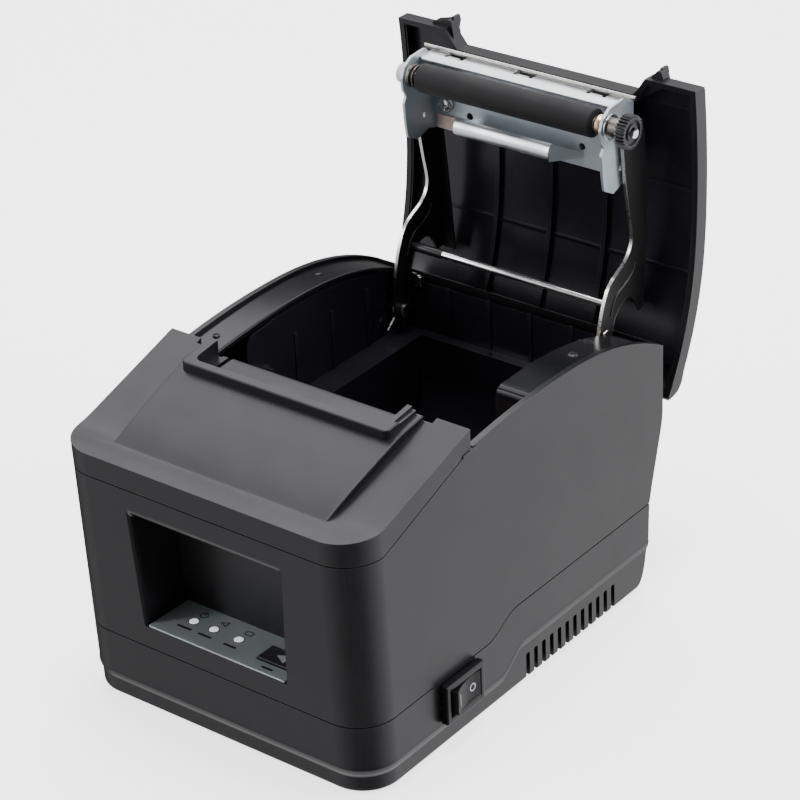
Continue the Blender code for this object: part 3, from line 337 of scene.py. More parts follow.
# -------------------------------------------------------------------- helpers
def build(name, verts, faces, lift=True):
    me = bpy.data.meshes.new(name)
    dz = GROUND if lift else 0.0
    me.from_pydata([(v[0] * MM, v[1] * MM, (v[2] + dz) * MM) for v in verts], [], faces)
    bm = bmesh.new()
    bm.from_mesh(me)
    bmesh.ops.recalc_face_normals(bm, faces=bm.faces)
    bm.to_mesh(me)
    bm.free()
    ob = bpy.data.objects.new(name, me)
    bpy.context.scene.collection.objects.link(ob)
    return ob


def place(axis, a, b, t):
    if axis == "x":
        return (t, a, b)
    if axis == "y":
        return (a, t, b)
    return (a, b, t)


def prism(name, pts, axis, lo, hi):
    n = len(pts)
    v = [place(axis, a, b, lo) for a, b in pts] + [place(axis, a, b, hi) for a, b in pts]
    f = [list(range(n)), list(range(2 * n - 1, n - 1, -1))]
    f += [[i, (i + 1) % n, n + (i + 1) % n, n + i] for i in range(n)]
    return build(name, v, f)


def loft(name, rings, caps=True):
    n = len(rings[0])
    v = [p for r in rings for p in r]
    f = [list(range(n)), list(range(len(v) - 1, len(v) - n - 1, -1))] if caps else []
    for k in range(len(rings) - 1):
        f += [[k * n + i, k * n + (i + 1) % n, (k + 1) * n + (i + 1) % n, (k + 1) * n + i] for i in range(n)]
    return build(name, v, f)


def box(name, x0, x1, y0, y1, z0, z1):
    return prism(name, [(x0, y0), (x1, y0), (x1, y1), (x0, y1)], "z", z0, z1)


def circle(a, b, r, n=48, start=0.0):
    return [(a + r * math.cos(start + 2 * math.pi * i / n), b + r * math.sin(start + 2 * math.pi * i / n)) for i in range(n)]


def cyl(name, axis, a, b, r, lo, hi, n=48):
    return prism(name, circle(a, b, r, n), axis, lo, hi)


def turned(name, axis, a, b, steps, n=64):
    return loft(name, [[place(axis, p, q, t) for p, q in circle(a, b, max(r, 0.02), n)] for t, r in steps])


def ring(name, axis, a, b, steps, n=64):
    """A turned ring: steps is a closed list of (position, radius)."""
    rings = [[place(axis, p, q, t) for p, q in circle(a, b, r, n)] for t, r in steps]
    m = len(rings)
    v = [p for r in rings for p in r]
    f = []
    for k in range(m):
        j = (k + 1) % m
        f += [[k * n + i, k * n + (i + 1) % n, j * n + (i + 1) % n, j * n + i] for i in range(n)]
    return build(name, v, f)


def tube(name, pts, r, n=12):
    """A round wire through the points, smoothed between them."""
    path = smooth_path(pts, 6)
    rings, up = [], None
    for i, p in enumerate(path):
        d = (Vector(path[min(i + 1, len(path) - 1)]) - Vector(path[max(i - 1, 0)])).normalized()
        if up is None:
            up = d.orthogonal().normalized()
        up = (up - d * up.dot(d)).normalized()
        side = d.cross(up)
        rings.append([tuple(Vector(p) + (up * math.cos(2 * math.pi * k / n) + side * math.sin(2 * math.pi * k / n)) * r) for k in range(n)])
    return loft(name, rings)


def smooth_path(pts, per=6):
    """Catmull-Rom through the points."""
    pts = [Vector(p) for p in pts]
    ext = [pts[0] * 2 - pts[1]] + pts + [pts[-1] * 2 - pts[-2]]
    out = []
    for i in range(1, len(ext) - 2):
        a, b, c, d = ext[i - 1], ext[i], ext[i + 1], ext[i + 2]
        for k in range(per):
            t = k / per
            out.append(0.5 * ((2 * b) + (c - a) * t + (2 * a - 5 * b + 4 * c - d) * t * t + (3 * b - a - 3 * c + d) * t ** 3))
    out.append(pts[-1])
    return [tuple(p) for p in out]


def smooth2(pts, per=5):
    return [(p[0], p[1]) for p in smooth_path([(a, b, 0.0) for a, b in pts], per)]


def round_poly(pts, radii, seg=5):
    """A polygon whose corners are rounded; radii is one number or a list."""
    if not isinstance(radii, (list, tuple)):
        radii = [radii] * len(pts)
    out, n = [], len(pts)
    for i in range(n):
        p, a, b = Vector(pts[i]), Vector(pts[i - 1]), Vector(pts[(i + 1) % n])
        r = radii[i]
        da, db = (a - p), (b - p)
        la, lb = da.length, db.length
        if r <= 0 or la < 1e-6 or lb < 1e-6:
            out.append(tuple(p))
            continue
        da, db = da / la, db / lb
        half = math.acos(max(-1, min(1, da.dot(db)))) / 2
        if half > math.radians(88) or half < math.radians(2):
            out.append(tuple(p))
            continue
        t = min(r / math.tan(half), la * 0.49, lb * 0.49)
        r = t * math.tan(half)
        c = p + (da + db).normalized() * (r / math.sin(half))
        s, e = p + da * t - c, p + db * t - c
        a0 = math.atan2(s.y, s.x)
        a1 = math.atan2(e.y, e.x)
        while a1 - a0 > math.pi:
            a1 -= 2 * math.pi
        while a1 - a0 < -math.pi:
            a1 += 2 * math.pi
        for k in range(seg + 1):
            w = a0 + (a1 - a0) * k / seg
            out.append((c.x + r * math.cos(w), c.y + r * math.sin(w)))
    return out


def boolean(ob, other, op="DIFFERENCE"):
    mod = ob.modifiers.new("b", "BOOLEAN")
    mod.operation = op
    mod.solver = "EXACT"
    mod.object = other
    bpy.context.view_layer.update()
    dg = bpy.context.evaluated_depsgraph_get()
    me = bpy.data.meshes.new_from_object(ob.evaluated_get(dg), depsgraph=dg)
    ob.modifiers.clear()
    old = ob.data
    me.name = old.name
    ob.data = me
    bpy.data.meshes.remove(old)
    bpy.data.objects.remove(other)
    return ob


def cut(ob, *others):
    for o in others:
        boolean(ob, o, "DIFFERENCE")
    return ob


def join(ob, *others):
    for o in others:
        boolean(ob, o, "UNION")
    return ob


def both(ob, other):
    return boolean(ob, other, "INTERSECT")


def soften(ob, pick, width, seg=4):
    """Rounds the edges that pick accepts; it gets the midpoint in mm and the two face normals."""
    bm = bmesh.new()
    bm.from_mesh(ob.data)
    bmesh.ops.remove_doubles(bm, verts=bm.verts, dist=2e-6)
    bmesh.ops.dissolve_limit(bm, angle_limit=math.radians(0.3), verts=bm.verts, edges=bm.edges)
    bm.normal_update()
    chosen = []
    for e in bm.edges:
        if len(e.link_faces) != 2:
            continue
        mid = (e.verts[0].co + e.verts[1].co) / 2 / MM
        mid.z -= GROUND
        if pick(mid, e.link_faces[0].normal, e.link_faces[1].normal):
            chosen.append(e)
    if chosen:
        bmesh.ops.bevel(bm, geom=chosen, offset=width * MM, offset_type="OFFSET", segments=seg, profile=0.5, affect="EDGES", clamp_overlap=True)
    bm.to_mesh(ob.data)
    bm.free()
    return ob


def rbox(name, x0, x1, y0, y1, z0, z1, r=0.4, seg=3):
    ob = box(name, x0, x1, y0, y1, z0, z1)
    return soften(ob, lambda m, a, b: True, r, seg)


def piece(ob, mat, body, nodes=(), bevel=0.25, seg=2, sharp=38, name=None):
    """Cleans the mesh, rounds what is still sharp, and puts it on its body."""
    me = ob.data
    bm = bmesh.new()
    bm.from_mesh(me)
    bmesh.ops.remove_doubles(bm, verts=bm.verts, dist=3e-6)
    bmesh.ops.dissolve_limit(bm, angle_limit=math.radians(0.3), verts=bm.verts, edges=bm.edges)
    bmesh.ops.dissolve_degenerate(bm, dist=3e-6, edges=bm.edges)
    bmesh.ops.recalc_face_normals(bm, faces=bm.faces)
    bm.to_mesh(me)
    bm.free()
    me.materials.clear()
    me.materials.append(mat)
    me.shade_smooth()
    if bevel:
        mod = ob.modifiers.new("edge", "BEVEL")
        mod.width = bevel * MM
        mod.segments = seg
        mod.limit_method = "ANGLE"
        mod.angle_limit = math.radians(sharp)
        mod.use_clamp_overlap = True
        wn = ob.modifiers.new("wn", "WEIGHTED_NORMAL")
        wn.keep_sharp = True
        wn.weight = 60
    else:
        me.set_sharp_from_angle(angle=math.radians(sharp))
    if name:
        ob.name = name
    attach(ob, body)
    if nodes:
        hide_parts(*nodes)
    return ob


def front_y(z):
    return FRONT_Y + LEAN * (100.0 - z)


def plan(z, inset=0.0, rear=REAR_Y, n=20):
    x = HALF_W - inset
    y0 = front_y(z) + inset
    y1 = rear - inset
    rf = FRONT_R - inset
    rr = max(REAR_R - inset, 0.4)
    pts = []
    for cx, cy, r, a0 in ((x - rf, y0 + rf, rf, -90), (x - rr, y1 - rr, rr, 0), (-x + rr, y1 - rr, rr, 90), (-x + rf, y0 + rf, rf, 180)):
        k = n if r > 5 else 5
        for i in range(k + 1):
            a = math.radians(a0 + 90.0 * i / k)
            pts.append((cx + r * math.cos(a), cy + r * math.sin(a), z))
    return pts


def case_block(name, inset, z0, z1):
    return loft(name, [plan(z0, inset), plan(z1, inset)])


def arc_z(y):
    if y < ARC_PEAK_Y:
        return ARC_PEAK_Z - (y - ARC_PEAK_Y) ** 2 / (2 * 349.0)
    return ARC_PEAK_Z - ARC_REAR_DROP * ((y - ARC_PEAK_Y) / 77.0) ** 2.5


def arc_points(y0, y1, dz=0.0, n=48):
    return [(y0 + (y1 - y0) * i / n, arc_z(y0 + (y1 - y0) * i / n) + dz) for i in range(n + 1)]


def smooth(t):
    return t * t * (3 - 2 * t)


def s_line(z_front, z_rear, y0=-22.0, y1=-3.0, dz=0.0, n=20):
    pts = [(-120.0, z_front + dz)]
    for i in range(n + 1):
        t = i / n
        pts.append((y0 + (y1 - y0) * t, z_front + (z_rear - z_front) * smooth(t) + dz))
    pts.append((130.0, z_rear + dz))
    return pts


def seam_z(y):
    return SEAM_Z if y < COVER_KNEE_Y else SEAM_Z + SEAM_SLOPE * (y - COVER_KNEE_Y)


def cover_z(y):
    return COVER_Z if y < COVER_KNEE_Y else COVER_Z + COVER_SLOPE * (y - COVER_KNEE_Y)


def opened(p):
    a = -math.radians(LID_ANGLE)
    dy, dz = p[1] - HINGE_Y, p[2] - HINGE_Z
    return (p[0], HINGE_Y + dy * math.cos(a) - dz * math.sin(a), HINGE_Z + dy * math.sin(a) + dz * math.cos(a))


def closed(y, z):
    a = math.radians(LID_ANGLE)
    dy, dz = y - HINGE_Y, z - HINGE_Z
    return (HINGE_Y + dy * math.cos(a) - dz * math.sin(a), HINGE_Z + dy * math.sin(a) + dz * math.cos(a))


def swing_open(ob):
    for v in ob.data.vertices:
        p = opened((v.co.x / MM, v.co.y / MM, v.co.z / MM - GROUND))
        v.co = Vector((p[0] * MM, p[1] * MM, (p[2] + GROUND) * MM))
    return ob


CP_Y, CP_Z = closed(PLATEN_Y, PLATEN_Z)
MESH = MODULE * (Z_PLATEN + Z_IDLER) / 2 + 0.12
IDLER_Y, IDLER_Z = CP_Y, CP_Z - MESH
MESH2 = MODULE * (Z_IDLER + Z_PINION) / 2 + 0.12
PIN_A = math.radians(240.0)
PINION_Y, PINION_Z = IDLER_Y + MESH2 * math.cos(PIN_A), IDLER_Z + MESH2 * math.sin(PIN_A)


def gear_points(cy, cz, teeth, phase, backlash=0.12):
    """A spur gear's outline with rounded tips and roots."""
    rp = MODULE * teeth / 2
    rt, rr = rp + MODULE * 0.95, rp - MODULE * 1.25
    half_p = math.pi / (2 * teeth) - backlash / (2 * rp)
    half_t = half_p - math.tan(math.radians(23)) * (rt - rp) / rt
    half_r = half_p + math.tan(math.radians(20)) * (rp - rr) / rp * 0.8
    pts = []
    for i in range(teeth):
        a = phase + 2 * math.pi * i / teeth
        for r, d in ((rr, -half_r), (rr + 0.12, -half_r * 0.93), (rp, -half_p), (rt - 0.07, -half_t), (rt, -half_t * 0.5), (rt, half_t * 0.5), (rt - 0.07, half_t), (rp, half_p), (rr + 0.12, half_r * 0.93), (rr, half_r)):
            pts.append((cy + r * math.cos(a + d), cz + r * math.sin(a + d)))
    return pts


SIDE_YS = [-70.0, -55.0, -40.0, -28.0] + [-23.0 + 1.0 * i for i in range(26)] + [6.0, 14.0, 22.0, 32.0, 42.0, 52.0, 62.0, 72.0, 82.0, 90.0]


def outline(inset, zf, n=20):
    """The case's outline at a height that follows zf(y)."""
    x, y1 = HALF_W - inset, REAR_Y - inset
    y0 = front_y(zf(-90.0)) + inset
    rf, rr = FRONT_R - inset, max(REAR_R - inset, 0.4)
    pts = []
    for i in range(n + 1):
        a = math.radians(-90 + 90.0 * i / n)
        pts.append((x - rf + rf * math.cos(a), y0 + rf + rf * math.sin(a)))
    pts += [(x, y) for y in SIDE_YS]
    for i in range(6):
        a = math.radians(18.0 * i)
        pts.append((x - rr + rr * math.cos(a), y1 - rr + rr * math.sin(a)))
    for i in range(6):
        a = math.radians(90 + 18.0 * i)
        pts.append((-x + rr + rr * math.cos(a), y1 - rr + rr * math.sin(a)))
    pts += [(-x, y) for y in reversed(SIDE_YS)]
    for i in range(n + 1):
        a = math.radians(180 + 90.0 * i / n)
        pts.append((-x + rf + rf * math.cos(a), y0 + rf + rf * math.sin(a)))
    return [(a, b, zf(b)) for a, b in pts]


def s_height(z0, z1, y0, y1, dz=0.0):
    def f(y):
        t = max(0.0, min(1.0, (y - y0) / (y1 - y0)))
        return z0 + (z1 - z0) * smooth(t) + dz
    return f


def flat(z):
    return lambda y: z


# ================================================================== lower case
def lower_case():
    r = 0.75
    rings = [outline(r + i, flat(z)) for i, z in ((0.9, 0.0), (0.5, 0.1), (0.25, 0.3), (0.08, 0.65), (0.02, 1.0), (0.0, 1.4))]
    for i, dz in ((r, -1.0), (r * 0.93, -0.6), (r * 0.72, -0.1), (r * 0.4, 0.45), (r * 0.15, 1.0), (0.0, 1.7), (-0.18, 2.4), (-0.2, 2.9), (-0.1, 3.5), (0.0, 4.1)):
        rings.append(outline(i, s_height(RIDGE_FRONT, RIDGE_REAR, -14.0, 1.0, dz)))
    rings.append(outline(0.0, flat(40.0)))
    ob = loft("lower_case_skin", rings)
    line = s_line(PART_FRONT, PART_REAR, dz=-0.26)
    cut(ob, prism("c", line + [(130.0, 60.0), (-120.0, 60.0)], "x", -90, 90))
    rear = smooth2([(75.6, -0.1), (77.6, 0.15), (79.6, 0.9), (81.5, 2.6), (83.0, 5.6), (84.2, 9.6), (85.4, 16.0)], 4)
    rear = [(75.6, -5)] + rear + [(86.2, 36.0), (86.2, 60), (130, 60), (130, -5)]
    cut(ob, prism("c", rear, "x", -90, 90))
    inner = loft("c", [plan(2.4, RIDGE_INSET + WALL), plan(60.0, RIDGE_INSET + WALL)])
    lim = [(-120, 2.4), (77.0, 2.4), (79.6, 4.4), (81.0, 7.2), (82.0, 11.0), (83.0, 16.4), (83.8, 60.0), (-120, 60.0)]
    cut(ob, both(inner, prism("c", lim, "x", -90, 90)))
    for i in range(12):
        y = 4.1 + 5.2 * i
        slot = [(y - 1.2, -1.0), (y + 1.2, -1.0), (y + 1.2, 10.4), (y + 0.8, 10.9), (y - 0.8, 10.9), (y - 1.2, 10.4)]
        cut(ob, prism("c", slot, "x", 63.0, 72.0))
        cut(ob, prism("c", slot, "x", -72.0, -63.0))
    cut(ob, box("c", 60.0, 75.0, -50.4, -30.6, 12.7, 26.3))
    for x0, x1, z1 in ((-56.6, -39.4, 24.4), (-30.6, -15.4, 21.4), (-6.6, 8.6, 24.4), (19.4, 34.6, 24.4)):
        cut(ob, prism("c", round_poly([(x0, 8.8), (x1, 8.8), (x1, z1), (x0, z1)], 0.8), "y", 78.0, 90.0))
    for x in (-52.0, 52.0):
        for y in (-62.0, 66.0):
            cut(ob, cyl("c", "z", x, y, 2.0, -1, 3.5, 24))
            cut(ob, cyl("c", "z", x, y, 3.7, -1, 1.3, 24))
    # underside: the middle pad
    pad = loft("c", [[(a, b, -GROUND) for a, b in circle(0, 0, 10.6, 64)], [(a, b, -GROUND + 0.3) for a, b in circle(0, 0, 11.0, 64)], [(a, b, 1.0) for a, b in circle(0, 0, 12.0, 64)]])
    join(ob, pad)
    piece(ob, ABS(), "base", ["lower_case"], 0.22)


# =============================================================== upper housing
def recess_cutter():
    """The window in the front, with a soft rounded mouth, softer along its top."""
    z0, z1, a, b = PANEL_Z, RECESS_TOP, RECESS_X0, RECESS_X1
    steps = 7
    prof = [(-6.0, 1.0)] + [(1 - math.cos(math.radians(90.0 * k / steps)), 1 - math.sin(math.radians(90.0 * k / steps))) for k in range(steps + 1)]
    rings = []
    for k, (d, g) in enumerate(prof):
        side, top, low = 1.3 * g, 4.2 * g, 0.1 * g
        dep = -4.0 if k == 0 else d * 4.2
        pts = round_poly([(-a - side, z0 - low), (a + side, z0 - low), (b + side, z1 + top), (-b - side, z1 + top)], [0.7, 0.7, 1.6, 1.6], 5)
        rings.append([(p, front_y(q) + dep, q) for p, q in pts])
    pts = round_poly([(-a * 0.97, z0), (a * 0.97, z0), (b * 0.97, z1), (-b * 0.97, z1)], [0.7, 0.7, 1.6, 1.6], 5)
    rings.append([(p, RECESS_BACK - 1.5, q) for p, q in pts])
    return loft("c", rings)


def upper_housing():
    ob = case_block("upper_housing_skin", 0.0, 20.0, 130.0)
    prof = s_line(PART_FRONT, PART_REAR, dz=0.26)[:-1]
    prof += [(86.2, PART_REAR + 0.26), (88.6, 45.5), (91.4, 55.4), (94.2, 65.3), (REAR_Y, 77.5)]
    prof += list(reversed(arc_points(COVER_REAR_Y + 1.2, REAR_Y, 0.0, 56)))
    prof += [(COVER_REAR_Y + 1.2, seam_z(COVER_REAR_Y) - 0.2), (COVER_REAR_Y, seam_z(COVER_REAR_Y) - 0.2), (COVER_KNEE_Y, SEAM_Z - 0.2), (-120.0, SEAM_Z - 0.2)]
    both(ob, prism("c", prof, "x", -90, 90))
    soften(ob, lambda m, a, b: m.y > -26 and m.z > arc_z(m.y) - 0.6 and (abs(a.x) > 0.7) != (abs(b.x) > 0.7), 0.7, 3)
    inner = case_block("c", WALL, 10.0, 140.0)
    lim = [(-120, 5.0), (83.8, 5.0), (83.8, 36.0), (86.2, 45.5), (89.0, 55.4), (91.8, 65.3), (94.5, 77.5), (94.5, 140.0), (-120, 140.0)]
    cut(ob, both(inner, prism("c", lim, "x", -90, 90)))
    band = [(91.9, arc_z(91.9) - 2.2)] + arc_points(91.9, 95.5, 0.0, 6) + [(95.5, arc_z(95.5) - 2.2)]
    join(ob, prism("c", band, "x", -68.6, 68.6))
    # boss of the window, hollowed by the window itself
    z0, z1, a, b = PANEL_Z - 1.8, RECESS_TOP + 1.8, RECESS_X0 + 1.8, RECESS_X1 + 1.8
    sec = [(-a, z0), (a, z0), (b, z1), (-b, z1)]
    join(ob, loft("c", [[(x, -93.6, z) for x, z in sec], [(x * 0.972, RECESS_BACK + 1.8, z) for x, z in sec]]))
    cut(ob, recess_cutter())
    for x in LED_X:
        cut(ob, cyl("c", "z", x, LED_Y, 2.1, 30, 45, 32))
    cut(ob, box("c", 14.3, 30.3, -88.5, -78.5, 30, 45))
    piece(ob, ABS(), "base", ["upper_housing"], 0.2)


def shelves():
    """The glossy ledges beside the well, under the side walls' arcs."""
    for side, tag in ((-1, "left"), (1, "right")):
        y0 = 9.5 if side > 0 else COVER_REAR_Y + 1.4
        topl = arc_points(y0 + 3.0, 92.4, -1.45, 48)
        if side > 0:
            low = [(p, q - 2.3) for p, q in reversed(topl) if p > y0 + 3.2] + [(y0 + 2.2, arc_z(y0) - 6.0)]
            nose = smooth2([(y0 - 0.2, 96.0), (y0 - 0.15, arc_z(y0) - 8.0), (y0 + 0.1, arc_z(y0) - 4.6), (y0 + 1.1, arc_z(y0) - 2.5), (y0 + 3.0, arc_z(y0 + 3) - 1.45)], 5)[:-1]
            pts = nose + topl + low + [(y0 + 2.2, 96.0)]
        else:
            pts = topl + [(p, q - 2.3) for p, q in reversed(topl)]
        x0, x1 = (53.3, 67.7) if side > 0 else (-67.7, -53.3)
        ob = prism("shelf_" + tag, pts, "x", x0, x1)
        soften(ob, lambda m, a, b: (abs(a.x) > 0.9) != (abs(b.x) > 0.9) and abs(m.x) < 60 and max(a.z, b.z) > 0.2, 0.9, 4)
        piece(ob, SHELF(), "base", (), 0.15)
        # pips and screws
    sc = (61.1, 47.7)
    z = arc_z(sc[1]) - 1.45
    ob = turned("shelf_screw_right", "z", sc[0], sc[1], [(z - 1.0, 2.0), (z + 0.25, 2.0), (z + 0.55, 1.7), (z + 0.7, 1.0), (z + 0.7, 0.0)], 32)
    cut(ob, box("c", sc[0] - 1.2, sc[0] + 1.2, sc[1] - 0.22, sc[1] + 0.22, z + 0.35, z + 2), box("c", sc[0] - 0.22, sc[0] + 0.22, sc[1] - 1.2, sc[1] + 1.2, z + 0.35, z + 2))
    piece(ob, BLACK_COAT(), "base", (), 0.05)
    for k, (x, y) in enumerate(((-61.0, 47.7), (-61.0, -14.0))):
        z = arc_z(y) - 1.45
        ob = turned("shelf_pip_%d" % (k + 1), "z", x, y, [(z - 1.0, 1.5), (z + 0.3, 1.5), (z + 0.55, 1.2), (z + 0.6, 0.0)], 32)
        piece(ob, SHELF(), "base", (), 0.05)


# ================================================================= front cover
RAMP_TOP = smooth2([(-90.0, 106.2), (-86.5, 107.45), (-80.0, 110.2), (-72.8, 113.0), (-64.0, 116.1), (-55.2, 119.0), (-48.5, 121.2), (-43.3, 122.8), (COVER_REAR_Y, 125.2)], 5)


def front_cover():
    ob = case_block("front_cover_skin", 0.0, 80.0, 140.0)
    up = smooth2([(-98.5, 106.9), (-92.0, 107.35), (-86.0, 107.55), (-81.0, 107.9), (-76.0, 109.1), (-70.0, 110.9), (-60.0, 114.0), (-45.0, 118.7), (COVER_REAR_Y, 123.85)], 5)
    prof = [(-120, SEAM_Z + 0.26), (COVER_KNEE_Y, SEAM_Z + 0.26), (COVER_REAR_Y, seam_z(COVER_REAR_Y) + 0.26)] + list(reversed(up)) + [(-120, 106.0)]
    both(ob, prism("c", prof, "x", -90, 90))
    soften(ob, lambda m, a, b: m.y < COVER_REAR_Y - 0.3 and (a.z > 0.6) != (b.z > 0.6) and min(abs(a.z), abs(b.z)) < 0.3 and m.z > cover_z(m.y) - 3.0, 2.1, 5)
    plate = prism("c", [(-90.0, 101.0)] + RAMP_TOP + [(COVER_REAR_Y, 112.0)], "x", -60.0, 60.0)
    w0, w1 = RAMP_HALF - 0.5, RAMP_HALF + 1.5
    both(plate, prism("c", [(-w0, -90.0), (w0, -90.0), (w1, COVER_REAR_Y), (-w1, COVER_REAR_Y)], "z", 90.0, 140.0))
    soften(plate, lambda m, a, b: (abs(a.x) > 0.8) != (abs(b.x) > 0.8) and max(a.z, b.z) > 0.5, 0.5, 3)
    join(ob, plate)
    inner = case_block("c", WALL, 70.0, 140.0)
    lim = [(-120, 80), (COVER_REAR_Y - 2.2, 80), (COVER_REAR_Y - 2.2, cover_z(COVER_REAR_Y - 2.2) - 2.3), (COVER_KNEE_Y + 4, cover_z(COVER_KNEE_Y + 4) - 2.3), (COVER_KNEE_Y - 2, COVER_Z - 2.2), (-120, COVER_Z - 3.2)]
    cut(ob, both(inner, prism("c", lim, "x", -90, 90)))
    rin = [(-86.5, 90.0), (-86.5, 104.4), (-80.0, 107.4), (-72.8, 110.3), (-55.2, 116.4), (-48.5, 118.7), (COVER_REAR_Y - 2.2, 122.2), (COVER_REAR_Y - 2.2, 90.0)]
    cut(ob, prism("c", rin, "x", -RAMP_HALF + 2.4, RAMP_HALF - 2.4))
    # rim round the paper exit
    w = NOTCH_HALF + 3.8
    rim = prism("c", round_poly([(-w, -48.5), (w, -48.5), (w, COVER_REAR_Y), (-w, COVER_REAR_Y)], [2.2, 2.2, 0, 0], 8), "z", 108.0, 140.0)
    top = [(-60.0, 108.0), (-60.0, 125.2), (-48.5, 125.2), (-44.0, 125.7), (COVER_REAR_Y, 127.7), (-20.0, 128.6), (-20.0, 108.0)]
    both(rim, prism("c", top, "x", -60, 60))
    soften(rim, lambda m, a, b: (a.z > 0.8) != (b.z > 0.8) and m.z > 120 and m.y < COVER_REAR_Y - 0.2, 0.55, 3)
    join(ob, rim)
    for s in (-1, 1):
        x0, x1 = sorted((s * (w - 1.7), s * (w + 1.0)))
        cut(ob, prism("c", [(-42.5, 126.3), (-41.0, 125.2), (-20.0, 127.2), (-20.0, 135.0), (-42.5, 135.0)], "x", x0, x1))
    cut(ob, prism("c", round_poly([(-NOTCH_HALF, -45.2), (NOTCH_HALF, -45.2), (NOTCH_HALF, -10.0), (-NOTCH_HALF, -10.0)], [3.0, 5.0, 0, 0], 8), "z", 90.0, 140.0))
    guide = [(-46.0, 117.4), (-46.0, 119.6), (-38.0, 120.2), (-31.4, 120.55), (-30.0, 120.4), (-29.4, 119.6), (-29.4, 117.4)]
    join(ob, prism("c", guide, "x", -38.6, NOTCH_HALF + 1.0))
    join(ob, prism("c", [(-40.0, 117.4), (-40.0, 119.9), (-30.2, 120.25), (-29.4, 119.8), (-29.4, 117.4)], "x", -NOTCH_HALF - 1.0, -41.0))
    for s in (-1, 1):
        a, b = sorted((s * 43.4, s * 55.4))
        cut(ob, box("c", a, b, -31.4, -20.0, 118.4, 140.0))
    piece(ob, ABS(), "base", ["front_cover"], 0.25, 3)
    for s, tag in ((-1, "left"), (1, "right")):
        a, b = sorted((s * 68.2, s * 70.45))
        nib = prism("cover_catch_" + tag, [(-33.6, 113.9), (-25.6, 114.7), (-25.6, 116.0), (-33.6, 115.2)], "x", a, b)
        piece(nib, ABS(), "base", (), 0.25, 3)


# ================================================================ paper bucket
def paper_bucket():
    def top(dz, y0, y1, n=36):
        return list(reversed(arc_points(y0, y1, dz, n)))

    ob = prism("paper_bucket_skin", [(2.0, 76.4), (93.0, 76.4)] + top(-4.2, 2.0, 93.0), "x", -WELL_HALF - 1.5, WELL_HALF + 1.5)
    ro, n = ROLL_R + 1.6, 56
    arc = lambda r: [(ROLL_Y + r * math.cos(math.radians(180 + 180 * i / n)), ROLL_Z + r * math.sin(math.radians(180 + 180 * i / n))) for i in range(n + 1)]
    join(ob, prism("c", [(ROLL_Y + ro, 77.5), (ROLL_Y - ro, 77.5)] + arc(ro), "x", -ROLL_HALF - 1.5, ROLL_HALF + 1.5))
    well = prism("c", [(3.6, 78.0), (91.5, 78.0), (91.5, 140.0), (3.6, 140.0)], "x", -WELL_HALF, WELL_HALF)
    soften(well, lambda m, a, b: (abs(a.x) > 0.9 or abs(b.x) > 0.9) and abs(a.z) < 0.5 and abs(b.z) < 0.5, 3.2, 6)
    cut(ob, well)
    cut(ob, prism("c", [(ROLL_Y + ROLL_R, 90.0), (ROLL_Y - ROLL_R, 90.0)] + arc(ROLL_R), "x", -ROLL_HALF, ROLL_HALF))
    cut(ob, box("c", -48.4, 48.4, -5.0, 9.0, 82.0, 140.0))
    cut(ob, box("c", -60.0, 60.0, -5.0, 9.0, 98.0, 140.0))
    wing = [(-6.0, 84.0)] + smooth2([(-6.0, 106.0), (-5.7, 109.6), (-4.4, 112.4), (-2.2, 114.0), (1.0, 114.3), (4.0, 114.5)], 4) + [(10.6, arc_z(10.6) - 4.35), (10.6, 84.0)]
    join(ob, prism("c", wing, "x", -WELL_HALF - 1.5, -WELL_HALF))
    cut(ob, box("c", 53.0, 60.0, 0.0, 17.0, 92.0, 140.0))
    # ribs that guide the roll's ends, low on the round walls
    piece(ob, INNER(), "base", ["paper_bucket"], 0.3, 2)
    for s, tag in ((-1, "left"), (1, "right")):
        for k, (ya, yb) in enumerate(((22.0, 24.0), (44.5, 46.5), (67.0, 69.0))):
            a, b = sorted((s * WELL_HALF, s * (WELL_HALF - 0.5)))
            r = rbox("well_rib_%s_%d" % (tag, k + 1), a, b, ya, yb, 78.2, 104.0, 0.2, 2)
            piece(r, INNER(), "base", (), 0)
    for k, x in enumerate((-30.0, -10.0, 10.0, 30.0)):
        r = rbox("rear_wall_rib_%d" % (k + 1), x - 1.0, x + 1.0, 90.9, 91.6, 79.0, 101.0, 0.25, 2)
        piece(r, INNER(), "base", (), 0)


